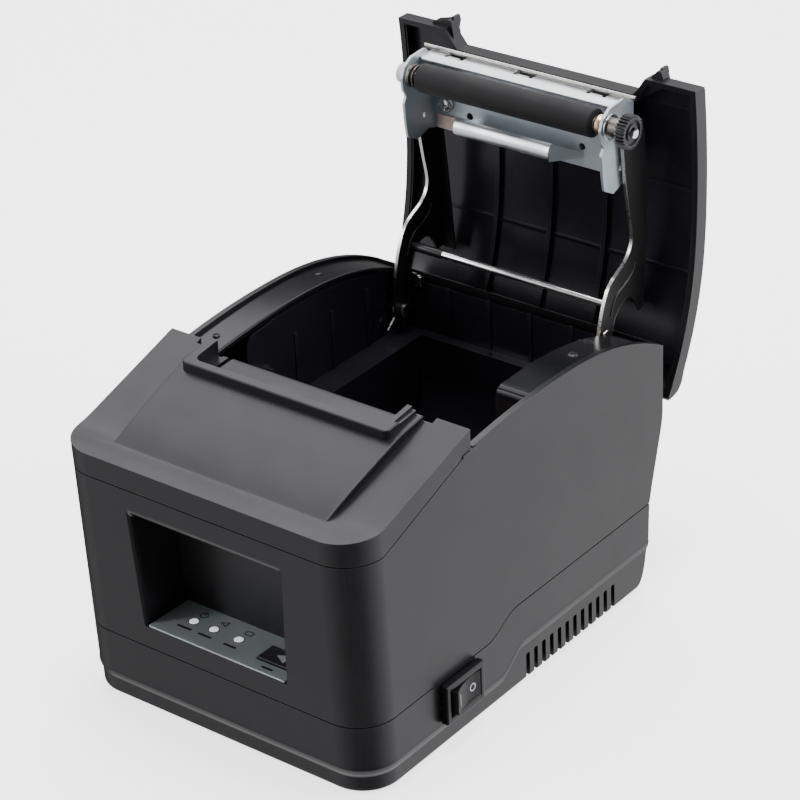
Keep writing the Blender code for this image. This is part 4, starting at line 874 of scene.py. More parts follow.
# =============================================================== control panel
def panel():
    z = PANEL_Z + 0.75
    sec = round_poly([(-32.6, front_y(PANEL_Z) + 0.35), (32.6, front_y(PANEL_Z) + 0.35), (31.6, -71.6), (-31.6, -71.6)], 0.5, 4)
    ob = prism("panel_film", sec, "z", PANEL_Z - 0.05, z)
    for x in LED_X:
        cut(ob, cyl("c", "z", x, LED_Y, 2.1, 30, 45, 40))
    cut(ob, prism("c", round_poly([(14.3, -88.5), (30.3, -88.5), (30.3, -78.5), (14.3, -78.5)], 0.9), "z", 30, 45))
    piece(ob, film("panel_silver", (0.36, 0.41, 0.425)), "base", ["panel_plate"], 0.08)
    for i, x in enumerate(LED_X):
        dome = [(32.0, 1.8), (z + 0.12, 1.8), (z + 0.26, 1.68), (z + 0.34, 1.3), (z + 0.38, 0.7), (z + 0.39, 0.0)]
        piece(turned("led_dome_%d" % (i + 1), "z", x, LED_Y, dome, 40), lens("led_lens"), "base", ["status_led_%d" % (i + 1)], 0)
        rg = ring("led_ring_%d" % (i + 1), "z", x, LED_Y, [(z - 0.2, 1.85), (z + 0.08, 1.85), (z + 0.12, 1.95), (z + 0.08, 2.15), (z - 0.2, 2.15)], 48)
        piece(rg, INK(), "base", (), 0)
    b = rbox("feed_button_cap", 14.8, 29.8, -88.0, -79.0, 36.6, 39.95, 0.4, 4)
    dish = loft("c", [[(22.3 + 30 * math.cos(t) * 0.21, -83.5 + 30 * math.sin(t) * 0.12, 39.85) for t in [2 * math.pi * k / 48 for k in range(48)]], [(22.3 + 32 * math.cos(t) * 0.22, -83.5 + 32 * math.sin(t) * 0.13, 40.6) for t in [2 * math.pi * k / 48 for k in range(48)]]])
    cut(b, dish)
    join(b, box("c", 19.8, 24.8, -85.5, -81.5, 33.2, 37.0))
    piece(b, BUTTON(), "button", ["feed_button"], 0.1)
    tri = prism("feed_mark", round_poly([(25.6, -86.2), (25.6, -80.6), (20.4, -83.4)], 0.3), "z", 39.6, 39.93)
    piece(tri, PALE_INK(), "button", (), 0)
    # printed marks: a switched-on ring, a warning wedge, a sheet outline, and bars
    def mark(name, ob):
        piece(ob, INK(), "base", (), 0)
    zi = z + 0.04
    x0, y0 = -19.4, -77.4
    r = ring("mark_ring", "z", x0, y0, [(z - 0.1, 1.3), (zi, 1.3), (zi, 1.68), (z - 0.1, 1.68)], 40)
    mark("m", r)
    mark("m", box("mark_ring_bar", x0 - 0.2, x0 + 0.2, y0 + 0.1, y0 + 2.2, z - 0.1, zi + 0.01))
    x0 = -9.6
    w = prism("mark_wedge", [(x0 - 1.9, y0), (x0 + 1.6, y0 + 1.7), (x0 + 1.6, y0 - 1.7)], "z", z - 0.1, zi)
    cut(w, prism("c", [(x0 - 0.9, y0), (x0 + 1.15, y0 + 1.0), (x0 + 1.15, y0 - 1.0)], "z", z - 1, zi + 1))
    mark("m", w)
    x0 = 2.4
    w = prism("mark_sheet", round_poly([(x0 - 1.9, y0 - 1.4), (x0 + 1.9, y0 - 1.4), (x0 + 1.9, y0 + 1.4), (x0 - 1.9, y0 + 1.4)], 1.2), "z", z - 0.1, zi)
    cut(w, prism("c", round_poly([(x0 - 1.45, y0 - 0.95), (x0 + 1.45, y0 - 0.95), (x0 + 1.45, y0 + 0.95), (x0 - 1.45, y0 + 0.95)], 0.8), "z", z - 1, zi + 1))
    mark("m", w)
    for k, (x0, ww, yy) in enumerate(((-20.4, 3.4, -87.6), (-10.6, 3.2, -87.6), (1.4, 3.0, -87.6), (22.3, 2.6, -91.2))):
        mark("m", prism("mark_bar_%d" % (k + 1), round_poly([(x0 - ww, yy - 0.55), (x0 + ww, yy - 0.55), (x0 + ww, yy + 0.55), (x0 - ww, yy + 0.55)], 0.4, 4), "z", z - 0.1, zi))


# ================================================================ power switch
def power_switch():
    ob = rbox("switch_bezel", 70.2, 73.6, -52.0, -29.0, 11.1, 27.9, 0.7, 4)
    join(ob, box("c", 52.0, 71.0, -50.0, -31.0, 13.1, 25.9))
    cut(ob, prism("c", round_poly([(-49.4, 14.0), (-31.6, 14.0), (-31.6, 25.0), (-49.4, 25.0)], 0.5), "x", 63.5, 80.0))
    mouth = loft("c", [[(72.9, a, b) for a, b in [(-49.4, 14.0), (-31.6, 14.0), (-31.6, 25.0), (-49.4, 25.0)]], [(74.0, a, b) for a, b in [(-50.3, 13.1), (-30.7, 13.1), (-30.7, 25.9), (-50.3, 25.9)]]])
    cut(ob, mouth)
    piece(ob, PART_BLACK(), "base", ["switch_body"], 0.12)
    half = smooth2([(5.65, -8.16), (4.95, -5.6), (4.5, -3.0), (4.3, 0.0)], 4)
    level = half + [(p, -q) for p, q in reversed(half[:-1])] + [(1.98, 8.5), (-1.96, 7.82), (-3.0, 0.0), (-1.96, -7.82), (1.98, -8.5)]
    c, s = math.cos(math.radians(SW_TILT)), math.sin(math.radians(SW_TILT))
    turn = lambda x, y: (SW_X + x * c - y * s, SW_Y + x * s + y * c)
    rk = prism("rocker_cap", [turn(x, y) for x, y in level], "z", 14.4, 24.6)
    soften(rk, lambda m, a, b: (a.x > 0.7) or (b.x > 0.7), 0.35, 3)
    piece(rk, ROCKER(), "rocker", ["power_rocker"], 0.1)
    # line on the front half, ring on the rear half: the usual on and off marks
    f = 5.25
    a0, a1 = turn(f - 0.12, -5.7), turn(f + 0.03, -6.1)
    ln = loft("rocker_line", [[(*turn(5.02, -5.35), 16.9), (*turn(5.02, -5.35), 22.1), (*turn(5.14, -5.75), 22.1), (*turn(5.14, -5.75), 16.9)], [(*turn(4.7, -5.3), 16.9), (*turn(4.7, -5.3), 22.1), (*turn(4.8, -5.75), 22.1), (*turn(4.8, -5.75), 16.9)]])
    piece(ln, PALE_INK(), "rocker", (), 0)
    seg, rings = 48, []
    for dx, r in ((-0.12, 1.25), (0.04, 1.25), (0.04, 1.65), (-0.12, 1.65)):
        row = []
        for k in range(seg):
            t = 2 * math.pi * k / seg
            yy = 3.9 + r * math.cos(t)
            row.append((*turn(surface_x(yy) + dx, yy), 19.5 + r * math.sin(t)))
        rings.append(row)
    v = [p for row in rings for p in row]
    fcs = []
    for k in range(4):
        j = (k + 1) % 4
        fcs += [[k * seg + i, k * seg + (i + 1) % seg, j * seg + (i + 1) % seg, j * seg + i] for i in range(seg)]
    piece(build("rocker_ring", v, fcs), PALE_INK(), "rocker", (), 0)


def surface_x(y):
    """The rocker's face, level, at a distance y from its axis."""
    pts = [(0.0, 4.3), (3.0, 4.5), (5.6, 4.95), (8.16, 5.65)]
    y = abs(y)
    for (a, p), (b, q) in zip(pts, pts[1:]):
        if y <= b:
            return p + (q - p) * (y - a) / (b - a)
    return pts[-1][1]


# ======================================================================== feet
def feet():
    k = 0
    for y in (-78.0, 68.0):
        for x in (-50.0, 50.0):
            k += 1
            prof = [(-0.25, 6.6), (-0.8, 6.6), (-1.05, 6.4), (-GROUND, 6.0), (-GROUND, 4.2), (-0.9, 3.9), (-0.85, 0.0)]
            ob = turned("foot_pad_%d" % k, "z", x, y, list(reversed(prof)), 48)
            piece(ob, FOOT(), "base", ["rubber_foot_%d" % k], 0)
    k = 0
    for y in (-62.0, 66.0):
        for x in (-52.0, 52.0):
            k += 1
            ob = turned("case_screw_head_%d" % k, "z", x, y, [(0.3, 2.6), (0.45, 3.1), (1.0, 3.2), (1.0, 1.5), (6.8, 1.5)], 32)
            cut(ob, box("c", x - 1.7, x + 1.7, y - 0.3, y + 0.3, 0.0, 0.8), box("c", x - 0.3, x + 0.3, y - 1.7, y + 1.7, 0.0, 0.8))
            piece(ob, STEEL(), "base", ["case_screw_%d" % k], 0.05)


# ========================================================================= lid
def lid_top(y):
    return arc_z(min(y, 92.0)) + LID_DEPTH


def lid_shell():
    n = 48
    rim = arc_points(LID_FRONT, 96.9, LID_GAP, n)
    top = arc_points(LID_FRONT + 1.2, 88.0, LID_DEPTH, n)
    rear = smooth2([(LID_REAR, 102.4), (LID_REAR - 0.5, 106.0), (96.4, 109.0), (93.6, 111.6), (88.6, lid_top(88.4) - 0.1)], 5)
    prof = rim + rear + list(reversed(top))[1:] + [(LID_FRONT + 0.35, lid_top(LID_FRONT) - 0.3), (LID_FRONT, lid_top(LID_FRONT) - 1.1)]
    ob = prism("lid_skin", prof, "x", -HALF_W, HALF_W)
    soften(ob, lambda m, a, b: (abs(a.x) > 0.9) != (abs(b.x) > 0.9) and m.z > arc_z(min(m.y, 96.9)) + 4.0 - max(0, m.y - 90) * 0.6 and m.y > LID_FRONT + 0.3, 1.9, 5)

    def inside(y0, y1, x0, x1):
        t = arc_points(y0, min(y1, 88.0), LID_DEPTH - 2.2, 30)
        p = [(y0, 80.0), (y1, 80.0)] + ([(y1, 106.0), (94.4, 107.6), (93.0, 109.0), (91.0, 110.2)] if y1 > 90 else []) + list(reversed(t))
        return prism("c", p, "x", x0, x1)
    cav = inside(LID_MID + 2.2, 95.6, -HALF_W + 2.4, HALF_W - 2.4)
    for s in (-1, 1):
        a, b = sorted((s * (NOTCH_L + 2.2), s * (HALF_W - 2.4)))
        join(cav, inside(LID_FRONT + 2.2, LID_MID + 4.0, a, b))
    cut(ob, cav)
    mid = [(-NOTCH_L, LID_MID), (NOTCH_L - 0.4, LID_MID), (44.2, -21.6), (48.4, LID_FRONT - 0.2), (48.8, LID_FRONT - 3), (-NOTCH_L - 6.0, LID_FRONT - 3), (-NOTCH_L - 5.6, LID_FRONT - 0.2)]
    cut(ob, prism("c", mid, "z", 90.0, 140.0))
    # web that closes each cheek beside the middle
    for s in (-1, 1):
        web = [(s * (NOTCH_L - 0.0), LID_MID + 0.3), (s * (NOTCH_L + 5.6), LID_FRONT + 0.1), (s * (NOTCH_L + 7.6), LID_FRONT + 0.9), (s * (NOTCH_L + 2.0), LID_MID + 1.6)]
        wb = prism("c", web, "z", 100.0, 140.0)
        t = arc_points(-40.0, 0.0, LID_DEPTH - 0.4, 12)
        lo = arc_points(-40.0, 0.0, LID_GAP + 0.2, 12)
        both(wb, prism("c", lo + list(reversed(t)), "x", -60, 60))
        join(ob, wb)
    lugs = (
        (round_poly([(-43.8, LID_MID + 1.0), (-44.3, -23.9), (-45.2, -29.4), (-46.4, -29.8), (-54.5, -27.6), (-54.7, LID_FRONT + 2.6)], [0, 0.6, 0.8, 0.8, 0.8, 0], 4), (-46.4, -45.2)),
        (round_poly([(44.9, LID_MID + 1.0), (44.6, -21.8), (51.4, -29.9), (53.4, -30.1), (54.4, -27.2), (54.4, LID_FRONT + 2.6)], [0, 0.8, 0.8, 0.8, 0.8, 0], 4), (51.6, 52.8)),
    )
    for out, (a, b) in lugs:
        lug = prism("c", out, "z", 119.2, 140.0)
        t = arc_points(-31.0, -12.0, LID_DEPTH - 0.25, 8)
        both(lug, prism("c", [(-31.0, 119.2), (-12.0, 119.2)] + list(reversed(t)), "x", -60, 60))
        join(ob, lug)
        join(ob, prism("c", [(-30.6, 121.0), (-30.6, 125.0), (-28.2, 125.8), (-24.0, 124.5), (-24.0, 121.0)], "x", a, b))
    for x in (-26.0, 0.0, 26.0):
        t = arc_points(-14.0, 86.0, LID_DEPTH - 1.9, 30)
        b = arc_points(-14.0, 86.0, LID_DEPTH - 4.2, 30)
        join(ob, prism("c", list(reversed(t)) + b, "x", x - 0.7, x + 0.7))
    for y in (18.0, 52.0):
        join(ob, prism("c", [(y - 0.6, arc_z(y) + LID_DEPTH - 3.0), (y + 0.6, arc_z(y) + LID_DEPTH - 3.0), (y + 0.6, arc_z(y) + LID_DEPTH - 1.5), (y - 0.6, arc_z(y) + LID_DEPTH - 1.5)], "x", -67.8, 67.8))
    swing_open(ob)
    piece(ob, ABS(), "lid", ["lid_shell"], 0.22, 2)
    # the glossy inside skin, a liner just proud of the roof and side walls
    for tag, x0, x1 in (("left", -67.45, -66.9), ("right", 66.9, 67.45)):
        t = arc_points(LID_FRONT + 2.6, 88.0, LID_DEPTH - 2.5, 36)
        lo = arc_points(LID_FRONT + 2.6, 95.0, LID_GAP + 0.5, 36)
        ob = prism("lid_liner_" + tag, lo + [(95.2, 106.0), (94.0, 107.8), (91.0, 109.8)] + list(reversed(t)), "x", x0, x1)
        swing_open(ob)
        piece(ob, INNER(), "lid", (), 0)
    liner("roof", LID_MID + 2.6, 90.6, -66.8, 66.8)
    for s, tag in ((-1, "a"), (1, "b")):
        a, b = sorted((s * (NOTCH_L + 2.8), s * 66.8))
        liner("cheek_" + tag, LID_FRONT + 2.6, LID_MID + 2.7, a, b)


def liner(tag, y0, y1, x0, x1):
    """A thin black skin under the lid's roof, with the ribs showing through it."""
    t = arc_points(y0, min(y1, 88.0), LID_DEPTH - 2.25, 40)
    lo = [(y, z - 0.35) for y, z in t]
    ob = prism("lid_liner_" + tag, lo + list(reversed(t)), "x", x0, x1)
    if tag == "roof":
        for x in (-26.0, 0.0, 26.0):
            b1 = arc_points(-14.0, 86.0, LID_DEPTH - 2.3, 30)
            b2 = arc_points(-14.0, 86.0, LID_DEPTH - 4.6, 30)
            join(ob, prism("c", b2 + list(reversed(b1)), "x", x - 1.0, x + 1.0))
        for y in (18.0, 52.0):
            z = arc_z(y) + LID_DEPTH
            join(ob, prism("c", [(y - 0.8, z - 3.4), (y + 0.8, z - 3.4), (y + 0.8, z - 2.3), (y - 0.8, z - 2.3)], "x", -66.0, 66.0))
    swing_open(ob)
    piece(ob, INNER(), "lid", (), 0.12)


# ------------------------------------------------------------- platen bracket
def bracket():
    # back plate with the formed side plates and slotted top flange
    ob = box("platen_bracket_plate", -47.2, 47.2, 108.3, 109.5, 161.2, 194.4)
    side = round_poly([(109.5, 160.8), (109.5, 194.0), (105.0, 194.4), (103.2, 196.8), (94.0, 196.2), (89.2, 193.4), (87.4, 189.0), (88.0, 184.0), (89.6, 181.4), (88.2, 178.4), (88.8, 170.0), (89.8, 163.6), (95.6, 160.4), (103.0, 162.6)], [0, 0.6, 1.2, 1.4, 2.2, 1.6, 1.4, 0.9, 0.9, 1.2, 1.2, 1.4, 1.2, 1.2], 4)
    for s in (-1, 1):
        a, b = sorted((s * 46.0, s * 47.2))
        join(ob, prism("c", side, "x", a, b))
    cut(ob, cyl("c", "x", PLATEN_Y, PLATEN_Z, 4.3, -60, 60, 40))
    for x, r in ((-29.3, 1.5), (24.2, 1.5)):
        cut(ob, cyl("c", "y", x, 169.5, r, 100, 115, 32))
    for x in (-34.0, -1.0, 33.0):
        cut(ob, box("c", x - 4.4, x + 4.4, 107.0, 111.0, 190.6, 196.0))
    # small bites along the lower edge, where the sheet was cut from its strip
    for x in (33.5, 38.5):
        cut(ob, prism("c", [(x - 0.9, 160.0), (x + 0.9, 160.0), (x + 0.5, 162.0), (x - 0.5, 162.0)], "y", 100, 115))
    # serrations low on the side plates' front edge
    for s in (-1, 1):
        a, b = sorted((s * 45.0, s * 48.0))
        for k in range(4):
            z = 166.5 + 2.3 * k
            cut(ob, prism("c", [(86.0, z - 0.5), (89.2, z), (86.0, z + 0.5)], "x", a, b))
        cut(ob, prism("c", round_poly([(99.6, 168.0), (101.2, 168.0), (101.2, 170.4), (99.6, 170.4)], 0.6), "x", a, b))
    piece(ob, ZINC(), "lid", ["platen_bracket"], 0.14, 2)
    # top flange, in the lighter zinc copy: painted light, because it faces up
    fl = prism("bracket_flange", round_poly([(-45.2, 98.4), (44.6, 98.4), (46.2, 100.6), (46.2, 108.6), (-46.2, 108.6), (-46.2, 100.6)], [2.2, 2.2, 1.0, 0, 0, 1.0], 5), "z", 193.6, 194.5)
    for x in (-34.0, -1.0, 33.0):
        cut(fl, prism("c", [(x - 4.4, 105.9), (x + 4.4, 105.9), (x + 4.4, 110.0), (x - 4.4, 110.0)], "z", 190, 200))
        cut(fl, prism("c", [(x - 4.4, 104.5), (x - 2.9, 104.5), (x - 2.6, 106.2), (x - 4.4, 106.2)], "z", 190, 200))
        cut(fl, prism("c", [(x + 2.9, 104.5), (x + 4.4, 104.5), (x + 4.4, 106.2), (x + 2.6, 106.2)], "z", 190, 200))
    piece(fl, ZINC_LIT_COPY(), "lid", (), 0.12, 2)
    # formed lip with a folded right end
    lip = smooth2([(108.2, 165.4), (104.5, 164.9), (101.4, 164.5), (99.6, 164.9), (98.5, 166.4), (98.7, 168.6), (100.0, 170.5), (101.4, 171.2)], 4)
    back = [(p + (0.9 if p < 101 else 0.2), q + (0.0 if p < 101 else -0.0)) for p, q in lip]
    outer = lip
    inner = smooth2([(108.2, 166.5), (104.5, 166.0), (101.8, 165.7), (100.5, 165.9), (99.7, 167.0), (99.9, 168.4), (100.8, 169.8), (102.0, 170.3)], 4)
    # The lip also takes the lighter zinc copy: painted light.
    lp = prism("bracket_lip", outer + list(reversed(inner)), "x", -30.6, 15.0)
    piece(lp, ZINC_LIT_COPY(), "lid", (), 0.12, 2)
    fold = loft("bracket_lip_fold", [[(15.2, 98.6, 164.6), (15.2, 100.6, 170.9), (16.2, 101.2, 170.9), (16.2, 99.6, 164.6)], [(24.4, 108.0, 165.2), (24.4, 108.0, 167.2), (25.2, 108.2, 167.2), (25.2, 108.2, 165.2)]])
    piece(fold, ZINC(), "lid", (), 0.1)
    tag = rbox("bracket_tag", -44.6, -31.4, 107.5, 108.1, 161.6, 167.6, 0.2, 2)
    piece(tag, TAG(), "lid", (), 0)
    # tear bar: brown body with a bright ground edge
    tb = prism("tear_bar_body", [(107.0, 194.8), (108.0, 194.8), (108.0, 196.4), (107.5, 196.6), (107.0, 196.2)], "x", -49.6, 49.6)
    piece(tb, BAR(), "lid", ["tear_bar"], 0.08)
    eg = prism("tear_bar_edge", [(106.75, 195.9), (107.05, 195.7), (107.1, 196.75), (106.9, 196.7)], "x", -49.6, 49.6)
    piece(eg, SHEAR(), "lid", (), 0)
    bk = prism("tear_bar_backing", [(109.7, 191.0), (116.8, 189.6), (116.8, 190.8), (111.2, 194.2), (109.7, 194.3)], "x", -41.0, 41.0)
    piece(bk, BAR(), "lid", (), 0.2)
    for s, n in ((-1, "left"), (1, "right")):
        x, z = s * 40.6, 172.7
        sc = turned("bracket_screw_head_" + n, "y", x, z, [(105.6, 0.0), (105.65, 1.4), (105.95, 2.4), (106.5, 3.0), (107.2, 3.1), (107.2, 3.7), (108.1, 3.7)], 40)
        cut(sc, box("c", x - 1.8, x + 1.8, 105.0, 106.6, z - 0.35, z + 0.35), box("c", x - 0.35, x + 0.35, 105.0, 106.6, z - 1.8, z + 1.8))
        piece(sc, STEEL(), "lid", ["bracket_screw_" + n], 0.06)


# ----------------------------------------------------------------------- arms
EDGE = smooth2([(97.5, 186.0), (98.6, 178.0), (100.3, 163.0), (102.4, 151.0), (104.4, 141.7), (104.6, 137.4), (103.0, 133.5), (99.4, 130.2), (95.0, 128.0), (91.3, 126.0), (88.2, 123.2), (86.0, 119.6), (83.6, 113.6), (81.8, 106.8), (80.8, 100.0), (80.5, 92.0)], 5)


def arms():
    lobe = [(HINGE_Y + 5.2 * math.cos(math.radians(a)), HINGE_Z + 5.2 * math.sin(math.radians(a))) for a in range(180, 361, 12)]
    arch = smooth2([(90.9, 97.0), (90.9, 101.0), (91.1, 104.4), (92.0, 107.8), (94.0, 111.0), (97.4, 113.6), (101.0, 114.6), (104.2, 113.4), (107.0, 110.2), (109.4, 105.4)], 4)
    back = smooth2([(112.0, 106.0), (112.8, 113.0), (113.4, 120.0), (114.6, 140.0), (115.0, 160.0), (113.5, 178.0), (112.0, 186.0)], 4)
    for s, n in ((-1, "left"), (1, "right")):
        a, b = sorted((s * 48.6, s * 49.8))
        ob = prism("arm_plate_" + n, EDGE + lobe + arch + back, "x", a, b)
        cut(ob, cyl("c", "x", HINGE_Y, HINGE_Z, 2.3, -60, 60, 32))
        piece(ob, BLACK_COAT(), "lid", ["lid_arm_" + n], 0.15)
        # flange turned inwards: narrow at the top, wide at the foot
        quad = []
        for (y, z) in ((112.6, 106.6), (113.2, 118.0), (114.4, 140.0), (114.8, 158.0)):
            wdt = 7.4 - 6.0 * (z - 106.6) / 52.0
            quad.append((y, z, wdt))
        rings = [[(s * 48.9, y, z), (s * (48.9 - w), y, z), (s * (48.9 - w), y - 1.1, z), (s * 48.9, y - 1.1, z)] for y, z, w in quad]
        piece(loft("arm_flange_" + n, rings), BLACK_COAT(), "lid", (), 0.2, 3)
        # bright sheared front edge
        strip = strip_along(EDGE[2:-8], 0.2, 0.04)
        a, b = sorted((s * 48.54, s * 49.86))
        piece(prism("arm_edge_" + n, strip, "x", a, b), SHEAR(), "lid", (), 0)
        # bright rim of the arch
        a, b = sorted((s * 48.56, s * 49.84))
        piece(prism("arm_arch_edge_" + n, strip_along([(p, q) for p, q in arch[8:30]], 0.2, 0.04), "x", a, b), SHEAR(), "lid", (), 0)
        # stiffening bead pressed into the plate
        bead = [(s * (48.5 if s < 0 else 49.9), y, z) for y, z in ((106.0, 128.0), (104.2, 124.4), (99.4, 121.4), (94.6, 119.6), (91.4, 116.6), (89.2, 111.6))]
        if s < 0:
            bead = [(-48.5, y, z) for _, y, z in bead]
        piece(tube("arm_bead_" + n, bead, 0.42, 10), BLACK_COAT(), "lid", (), 0)
    rod = turned("tie_rod_bar", "x", 92.8, 114.2, [(-33.0, 1.55), (47.6, 1.55), (47.9, 1.4), (48.3, 1.2)], 40)
    piece(rod, STEEL(), "lid", ["tie_rod"], 0)
    slv = turned("tie_rod_sleeve", "x", 92.8, 114.2, [(-48.3, 1.9), (-34.0, 1.9), (-33.4, 1.7), (-33.0, 1.6)], 40)
    piece(slv, BLACK_COAT(), "lid", (), 0)


def strip_along(path, depth, proud):
    """A thin band along an open path, from proud of it to depth behind it."""
    out, inn = [], []
    for i, p in enumerate(path):
        a, b = Vector(path[max(i - 1, 0)]), Vector(path[min(i + 1, len(path) - 1)])
        d = (b - a).normalized()
        nrm = Vector((-d.y, d.x))
        q = Vector(p)
        out.append(tuple(q - nrm * proud))
        inn.append(tuple(q + nrm * depth))
    return out + list(reversed(inn))


# --------------------------------------------------------------------- platen
def platen():
    sh = turned("platen_shaft_bar", "x", PLATEN_Y, PLATEN_Z, [(-52.0, 1.75), (-51.7, 2.0), (-47.6, 2.0), (-47.6, 1.7), (-47.0, 1.7), (-47.0, 2.0), (-41.5, 2.0), (-41.3, 3.0), (41.3, 3.0), (41.5, 2.0), (58.7, 2.0), (59.0, 1.75)], 48)
    a = math.radians(40)
    cut(sh, box("c", 52.9, 60.0, PLATEN_Y - 3, PLATEN_Y + 3, PLATEN_Z + 1.25, PLATEN_Z + 4))
    piece(sh, STEEL(), "platen", ["platen_shaft"], 0.06)
    ro = ring("platen_rubber_tube", "x", PLATEN_Y, PLATEN_Z, [(-40.8, 3.1), (-40.8, 5.35), (-40.6, 5.65), (-40.2, PLATEN_R), (40.2, PLATEN_R), (40.6, 5.65), (40.8, 5.35), (40.8, 3.1)], 128)
    piece(ro, ROLLER(), "platen", ["platen_roller"], 0, sharp=60)
    ph = math.radians(-90.0 - LID_ANGLE) + math.pi / Z_PLATEN
    ge = prism("platen_gear_wheel", gear_points(PLATEN_Y, PLATEN_Z, Z_PLATEN, ph), "x", GEAR_X0, GEAR_X1)
    web = ring("c", "x", PLATEN_Y, PLATEN_Z, [(GEAR_X1 - 0.9, 3.3), (GEAR_X1 + 1, 3.3), (GEAR_X1 + 1, 5.0), (GEAR_X1 - 0.9, 5.0)], 64)
    cut(ge, web)
    cut(ge, cyl("c", "x", PLATEN_Y, PLATEN_Z, 2.15, 50, 60, 40))
    piece(ge, GEAR(), "platen", ["platen_gear"], 0.06, 2)
    for k, x in enumerate((-47.3, -46.0 + 3.2)):
        pass
    bl = ring("bush_left_body", "x", PLATEN_Y, PLATEN_Z, [(-51.0, 2.25), (-51.0, 3.7), (-50.7, 4.0), (-45.8, 4.0), (-45.6, 4.0), (-45.6, 2.25)], 56)
    piece(bl, IVORY(), "lid", ["bush_left"], 0.06)
    fl = ring("bush_left_collar", "x", PLATEN_Y, PLATEN_Z, [(-45.4, 2.25), (-45.4, 4.4), (-45.2, 4.6), (-44.4, 4.6), (-44.2, 4.4), (-44.2, 2.25)], 56)
    piece(fl, BAR(), "lid", (), 0)
    w2 = ring("platen_washer_left", "x", PLATEN_Y, PLATEN_Z, [(-42.9, 2.1), (-42.9, 4.7), (-42.4, 4.7), (-42.4, 2.1)], 56)
    piece(w2, BAR(), "lid", (), 0.08)
    br = ring("bearing_right_body", "x", PLATEN_Y, PLATEN_Z, [(44.9, 2.25), (44.9, 4.1), (45.1, 4.3), (46.4, 4.3), (46.6, 4.0), (52.2, 4.0), (52.6, 3.7), (52.6, 2.25)], 56)
    piece(br, BAR(), "lid", ["bearing_right"], 0.06)
    cr = ring("bearing_bronze_ring", "x", PLATEN_Y, PLATEN_Z, [(42.6, 2.25), (42.6, 3.7), (42.9, 4.0), (44.4, 4.0), (44.7, 3.8), (44.7, 2.25)], 56)
    piece(cr, COPPER(), "lid", (), 0)
    w3 = ring("platen_washer_right", "x", PLATEN_Y, PLATEN_Z, [(47.5, 4.05), (47.5, 5.1), (48.1, 5.1), (48.1, 4.05)], 56)
    piece(w3, STEEL(), "lid", (), 0.08)


# --------------------------------------------------- small metal round the hinge
def hinge_bits():
    for s, n in ((-1, "hinge_pin_left"), (1, "hinge_pin_right")):
        steps = [(46.8, 0.0), (46.85, 2.4), (47.1, 3.1), (48.1, 3.2), (48.2, 1.9), (52.7, 1.9), (52.9, 1.7)]
        ob = turned(n + "_body", "x", HINGE_Y, HINGE_Z, [(s * t, r) for t, r in steps], 40)
        piece(ob, STEEL(), "base", [n], 0)
    left = [(-50.5, 87.9, 107.2), (-50.5, 89.3, 105.6), (-50.5, 88.3, 103.6), (-50.5, 84.8, 104.1), (-50.5, 83.9, 102.6), (-50.5, 82.9, 91.6), (-50.5, 81.0, 90.4), (-50.6, 81.4, 88.0), (-50.5, 83.0, 87.0), (-50.6, 80.2, 84.6), (-50.5, 76.9, 81.9)]
    piece(tube("hinge_spring_left", left, 0.36, 10), WIRE(), "base", (), 0)
    right = [(50.6, 87.2, 106.4), (50.6, 85.4, 107.2), (50.6, 83.4, 106.4), (50.6, 84.2, 104.6), (50.6, 86.0, 103.6), (50.6, 85.4, 101.4), (50.6, 81.4, 102.6), (50.6, 80.6, 100.0), (50.6, 82.6, 96.6)]
    piece(tube("hinge_spring_right", right, 0.4, 10), WIRE(), "base", (), 0)
    clip = rbox("wall_clip", -47.9, -44.9, 89.9, 91.2, 97.8, 103.6, 0.4, 3)
    piece(clip, BAR(), "base", (), 0)
    clip = rbox("wall_clip_leaf", -44.6, -42.2, 89.3, 91.2, 98.4, 103.2, 0.5, 3)
    piece(clip, WIRE(), "base", (), 0)


# ----------------------------------------------- the rest keeps its CAD shape
def internals():
    looks = {
        "control_board": BOARD, "main_board": BOARD, "power_socket": PART_BLACK, "drawer_jack": PART_BLACK,
        "usb_port": ALUM, "network_port": ALUM, "buzzer": PART_BLACK, "mech_frame": ZINC, "print_head": CERAMIC,
        "head_heatsink": ALUM, "pressure_plate": ZINC, "head_spring_1": WIRE, "head_spring_2": WIRE,
        "stepper_motor": MOTORM, "motor_pinion": COPPER, "idler_gear": GEAR, "idler_pin": STEEL,
        "paper_sensor": PART_BLACK, "cutter_frame": ZINC, "cutter_blade": STEEL, "cutter_motor": MOTORM,
    }
    for n, make in looks.items():
        ob = frame["nodes"][n]
        ob.data.materials.clear()
        ob.data.materials.append(make())
        for p in ob.data.polygons:
            p.material_index = 0
            p.use_smooth = True
        if "spring" not in n:
            wl = ob.modifiers.new("weld", "WELD")
            wl.merge_threshold = 0.000002
            mod = ob.modifiers.new("edge", "BEVEL")
            mod.width = 0.00006 if "gear" in n or "pinion" in n else 0.0002
            mod.segments = 2
            mod.limit_method = "ANGLE"
            mod.angle_limit = math.radians(38)
            wn = ob.modifiers.new("wn", "WEIGHTED_NORMAL")
            wn.keep_sharp = True


lower_case()
upper_housing()
shelves()
front_cover()
paper_bucket()
panel()
power_switch()
feet()
lid_shell()
bracket()
arms()
platen()
hinge_bits()
internals()


